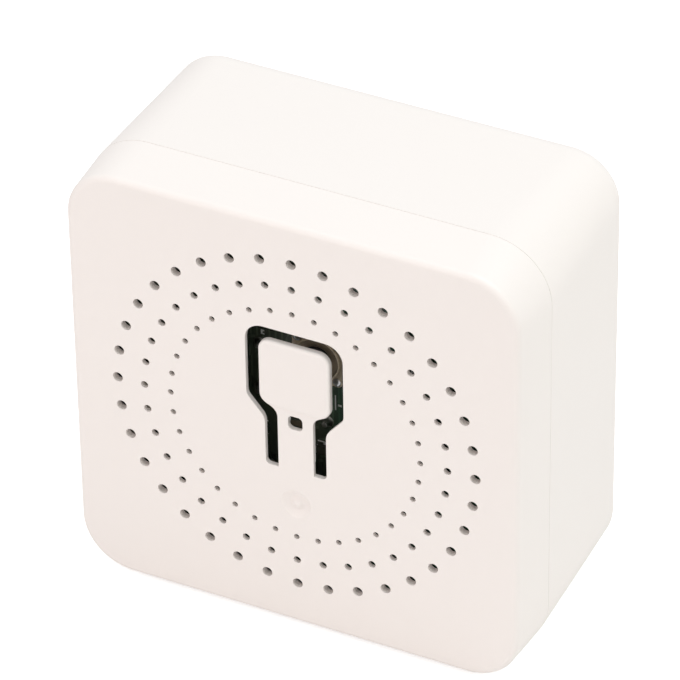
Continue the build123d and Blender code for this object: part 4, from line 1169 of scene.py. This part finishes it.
class MODULE_OT_terminals(bpy.types.Operator):
    """Clamping ridges in the terminal cages, and threads on their screws"""

    bl_idname = "module.terminals"
    bl_label = "Terminals"

    def execute(self, context):
        settings = context.scene.module_terminals
        for pole in range(1, POLES + 1):
            self.ridges(settings, pole)
            self.screw(settings, pole)
        return {"FINISHED"}

    def ridges(self, settings, pole):
        node = "terminal_cage_%d" % pole
        low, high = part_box(node)
        wall = settings.cage_wall
        half = (high.x - low.x) / 2 - wall
        half_width = settings.ridge_width / 2
        ridge = bar(
            "ridge",
            (-half, -settings.ridge_root, -half_width),
            (half, settings.ridge_height, half_width),
            settings.ridge_bevel,
        )
        grow = Growth("Clamping ridges", Ridge=ridge, Count=settings.ridges, Pitch=settings.ridge_pitch)
        line = grow.node(
            "GeometryNodeMeshLine", Count=grow.given("Count"), Offset=grow.vector(z=grow.given("Pitch"))
        )
        row = grow.node("GeometryNodeInstanceOnPoints", Points=line, Instance=grow.seed("Ridge"))
        rows = grow.node("GeometryNodeInstanceOnPoints", Points=grow.given("Geometry"), Instance=row)
        run = settings.ridge_pitch * (settings.ridges - 1)
        start = ((low.x + high.x) / 2, low.y + wall, (low.z + high.z - run) / 2)
        material = frame["nodes"][node].material_slots[0].material
        piece = grow.piece("cage_ridges_%d" % pole, rows, material, [start])
        bpy.data.objects.remove(ridge)
        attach(piece, "cage_%d" % pole)

    def screw(self, settings, pole):
        node = "terminal_screw_%d" % pole
        low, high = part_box(node)
        middle = (low + high) / 2
        under = high.y - settings.head_height
        cut_above, into_head = 0.02 * MM, 0.1 * MM
        head = self.screw_head(node, under + cut_above)
        depth = settings.thread_depth
        grow = Growth(
            "Threaded shank",
            Head=head,
            Crest=settings.screw_radius,
            Pitch=settings.thread_pitch,
            Length=under + into_head - low.y,
            Depth=depth,
            Steps=28,
            Section_steps=6,
        )
        root = grow.given("Crest") - grow.given("Depth")
        run = grow.given("Length") - grow.given("Depth") * 2
        path = grow.node(
            "GeometryNodeCurveSpiral",
            Resolution=grow.given("Steps"),
            Rotations=run / grow.given("Pitch"),
            Start_Radius=root,
            End_Radius=root,
            Height=run,
        )
        section = grow.circle("Section steps", grow.given("Depth"))
        thread = grow.node("GeometryNodeCurveToMesh", Curve=path, Profile_Curve=section, Fill_Caps=True)
        core = grow.node(
            "GeometryNodeMeshCylinder", Vertices=grow.given("Steps"), Radius=root, Depth=grow.given("Length")
        )
        lift = grow.vector(z=grow.given("Length") * 0.5 - grow.given("Depth"))
        core = grow.node("GeometryNodeTransform", Geometry=core, Translation=lift)
        shank = grow.node(
            "GeometryNodeTransform",
            Geometry=grow.joined(thread, core),
            Rotation=TO_BACK,
            Translation=(middle.x, low.y + depth, middle.z),
        )
        material = frame["nodes"][node].material_slots[0].material
        piece = grow.piece("cage_screw_%d" % pole, grow.joined(shank, grow.seed("Head")), material)
        bpy.data.objects.remove(head)
        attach(piece, "screw_%d" % pole)
        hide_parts(node)

    def screw_head(self, node, under):
        """A seed shape: the solid's own head, cut off its plain shank and closed below."""
        sharp_angle = math.radians(30)
        shape = bmesh.new()
        shape.from_mesh(frame["nodes"][node].data)
        bmesh.ops.remove_doubles(shape, verts=shape.verts, dist=WELD)
        cut = bmesh.ops.bisect_plane(
            shape,
            geom=list(shape.verts) + list(shape.edges) + list(shape.faces),
            plane_co=(0, under, 0),
            plane_no=(0, 1, 0),
            clear_inner=True,
        )["geom_cut"]
        bmesh.ops.holes_fill(shape, edges=[item for item in cut if isinstance(item, bmesh.types.BMEdge)])
        for face in shape.faces:
            face.smooth = True
        for edge in shape.edges:
            edge.smooth = edge.calc_face_angle(0) < sharp_angle
        head = new_piece("screw head")
        shape.to_mesh(head.data)
        shape.free()
        return outward(head)


class MODULE_OT_stage(bpy.types.Operator):
    """Lay the floor, light it and set the camera"""

    bl_idname = "module.stage"
    bl_label = "Stage"

    def execute(self, context):
        settings = context.scene.module_stage
        middle = Vector(settings.ring_middle)
        self.floor(settings)
        self.sky(context.scene, settings)
        self.lamps(context.scene, settings, middle)
        self.camera(context.scene, settings, middle)
        context.scene.view_settings.view_transform = "Standard"
        return {"FINISHED"}

    def floor(self, settings):
        half = settings.floor_size / 2
        corners = [(-half, -half, 0), (half, -half, 0), (half, half, 0), (-half, half, 0)]
        floor = new_piece("floor", corners, [(0, 1, 2, 3)])
        floor.data.materials.append(floor_paper("Paper", tuple(settings.floor_colour), settings.floor_lift))

    def sky(self, scene, settings):
        """Even light on the object, and white where the camera, a gloss or a clear part sees past it."""
        world = bpy.data.worlds.new("Studio")
        world.use_nodes = True
        scene.world = world
        tree = world.node_tree
        sky = tree.nodes["Background"]
        sky.inputs["Color"].default_value = (1.0, 1.0, 1.0, 1.0)
        sky.inputs["Strength"].default_value = settings.sky
        seen = tree.nodes.new("ShaderNodeBackground")
        seen.inputs["Strength"].default_value = 1.0
        path = tree.nodes.new("ShaderNodeLightPath")
        either = Flow(tree, path.outputs["Is Camera Ray"])
        for kind in ("Is Glossy Ray", "Is Transmission Ray"):
            either = either.largest(Flow(tree, path.outputs[kind]))
        mix = tree.nodes.new("ShaderNodeMixShader")
        tree.links.new(either.socket, mix.inputs["Fac"])
        tree.links.new(sky.outputs[0], mix.inputs[1])
        tree.links.new(seen.outputs[0], mix.inputs[2])
        tree.links.new(mix.outputs[0], tree.nodes["World Output"].inputs["Surface"])

    def lamps(self, scene, settings, middle):
        for side, size, place in LAMPS:
            lamp = bpy.data.lights.new(side + " lamp", "AREA")
            lamp.color = getattr(settings, side + "_colour")
            lamp.energy = getattr(settings, side + "_light")
            lamp.shape = "SQUARE"
            lamp.size = size
            piece = bpy.data.objects.new(side + " lamp", lamp)
            scene.collection.objects.link(piece)
            piece.location = place
            piece.rotation_euler = (middle - Vector(place)).to_track_quat("-Z", "Y").to_euler()

    def camera(self, scene, settings, middle):
        turn, rise = settings.azimuth, settings.elevation
        right = Vector((math.cos(turn), math.sin(turn), 0))
        back = Vector((math.sin(turn) * math.cos(rise), -math.cos(turn) * math.cos(rise), math.sin(rise)))
        up = back.cross(right)
        aim = Matrix((right, up, back)).transposed() @ Matrix.Rotation(settings.roll, 3, "Z")
        offset = Vector((settings.aside, settings.above, settings.distance))
        camera = bpy.data.cameras.new("camera")
        camera.lens = settings.lens
        camera.sensor_width = 36.0
        camera.clip_start = 0.01
        view = bpy.data.objects.new("camera", camera)
        scene.collection.objects.link(view)
        view.matrix_world = Matrix.Translation(middle + aim @ offset) @ aim.to_4x4()
        scene.camera = view


class MODULE_PT_panel(bpy.types.Panel):
    bl_label = "Relay module"
    bl_idname = "MODULE_PT_panel"
    bl_space_type = "VIEW_3D"
    bl_region_type = "UI"
    bl_category = "Relay module"

    def draw(self, context):
        for operator in OPERATORS:
            self.layout.operator(operator.bl_idname)
        for group in SETTINGS:
            settings = getattr(context.scene, group)
            box = self.layout.box()
            for name in settings.__annotations__:
                box.prop(settings, name)


SETTINGS = {
    "module_case": CaseSettings,
    "module_vents": VentSettings,
    "module_seam": SeamSettings,
    "module_switch": SwitchSettings,
    "module_board": BoardSettings,
    "module_windings": WindingSettings,
    "module_terminals": TerminalSettings,
    "module_stage": StageSettings,
}
OPERATORS = (
    MODULE_OT_case,
    MODULE_OT_insides,
    MODULE_OT_vents,
    MODULE_OT_seam,
    MODULE_OT_switch,
    MODULE_OT_board,
    MODULE_OT_windings,
    MODULE_OT_terminals,
    MODULE_OT_stage,
)


def register():
    for group in SETTINGS.values():
        bpy.utils.register_class(group)
    for operator in OPERATORS:
        bpy.utils.register_class(operator)
    bpy.utils.register_class(MODULE_PT_panel)
    for name, group in SETTINGS.items():
        setattr(bpy.types.Scene, name, PointerProperty(type=group))


def unregister():
    for name in SETTINGS:
        delattr(bpy.types.Scene, name)
    bpy.utils.unregister_class(MODULE_PT_panel)
    for operator in reversed(OPERATORS):
        bpy.utils.unregister_class(operator)
    for group in reversed(SETTINGS.values()):
        bpy.utils.unregister_class(group)


def main():
    """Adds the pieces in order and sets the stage."""
    register()
    bpy.ops.module.case()
    bpy.ops.module.insides()
    bpy.ops.module.vents()
    bpy.ops.module.seam()
    bpy.ops.module.switch()
    bpy.ops.module.board()
    bpy.ops.module.windings()
    bpy.ops.module.terminals()
    bpy.ops.module.stage()


if __name__ == "__main__":
    main()
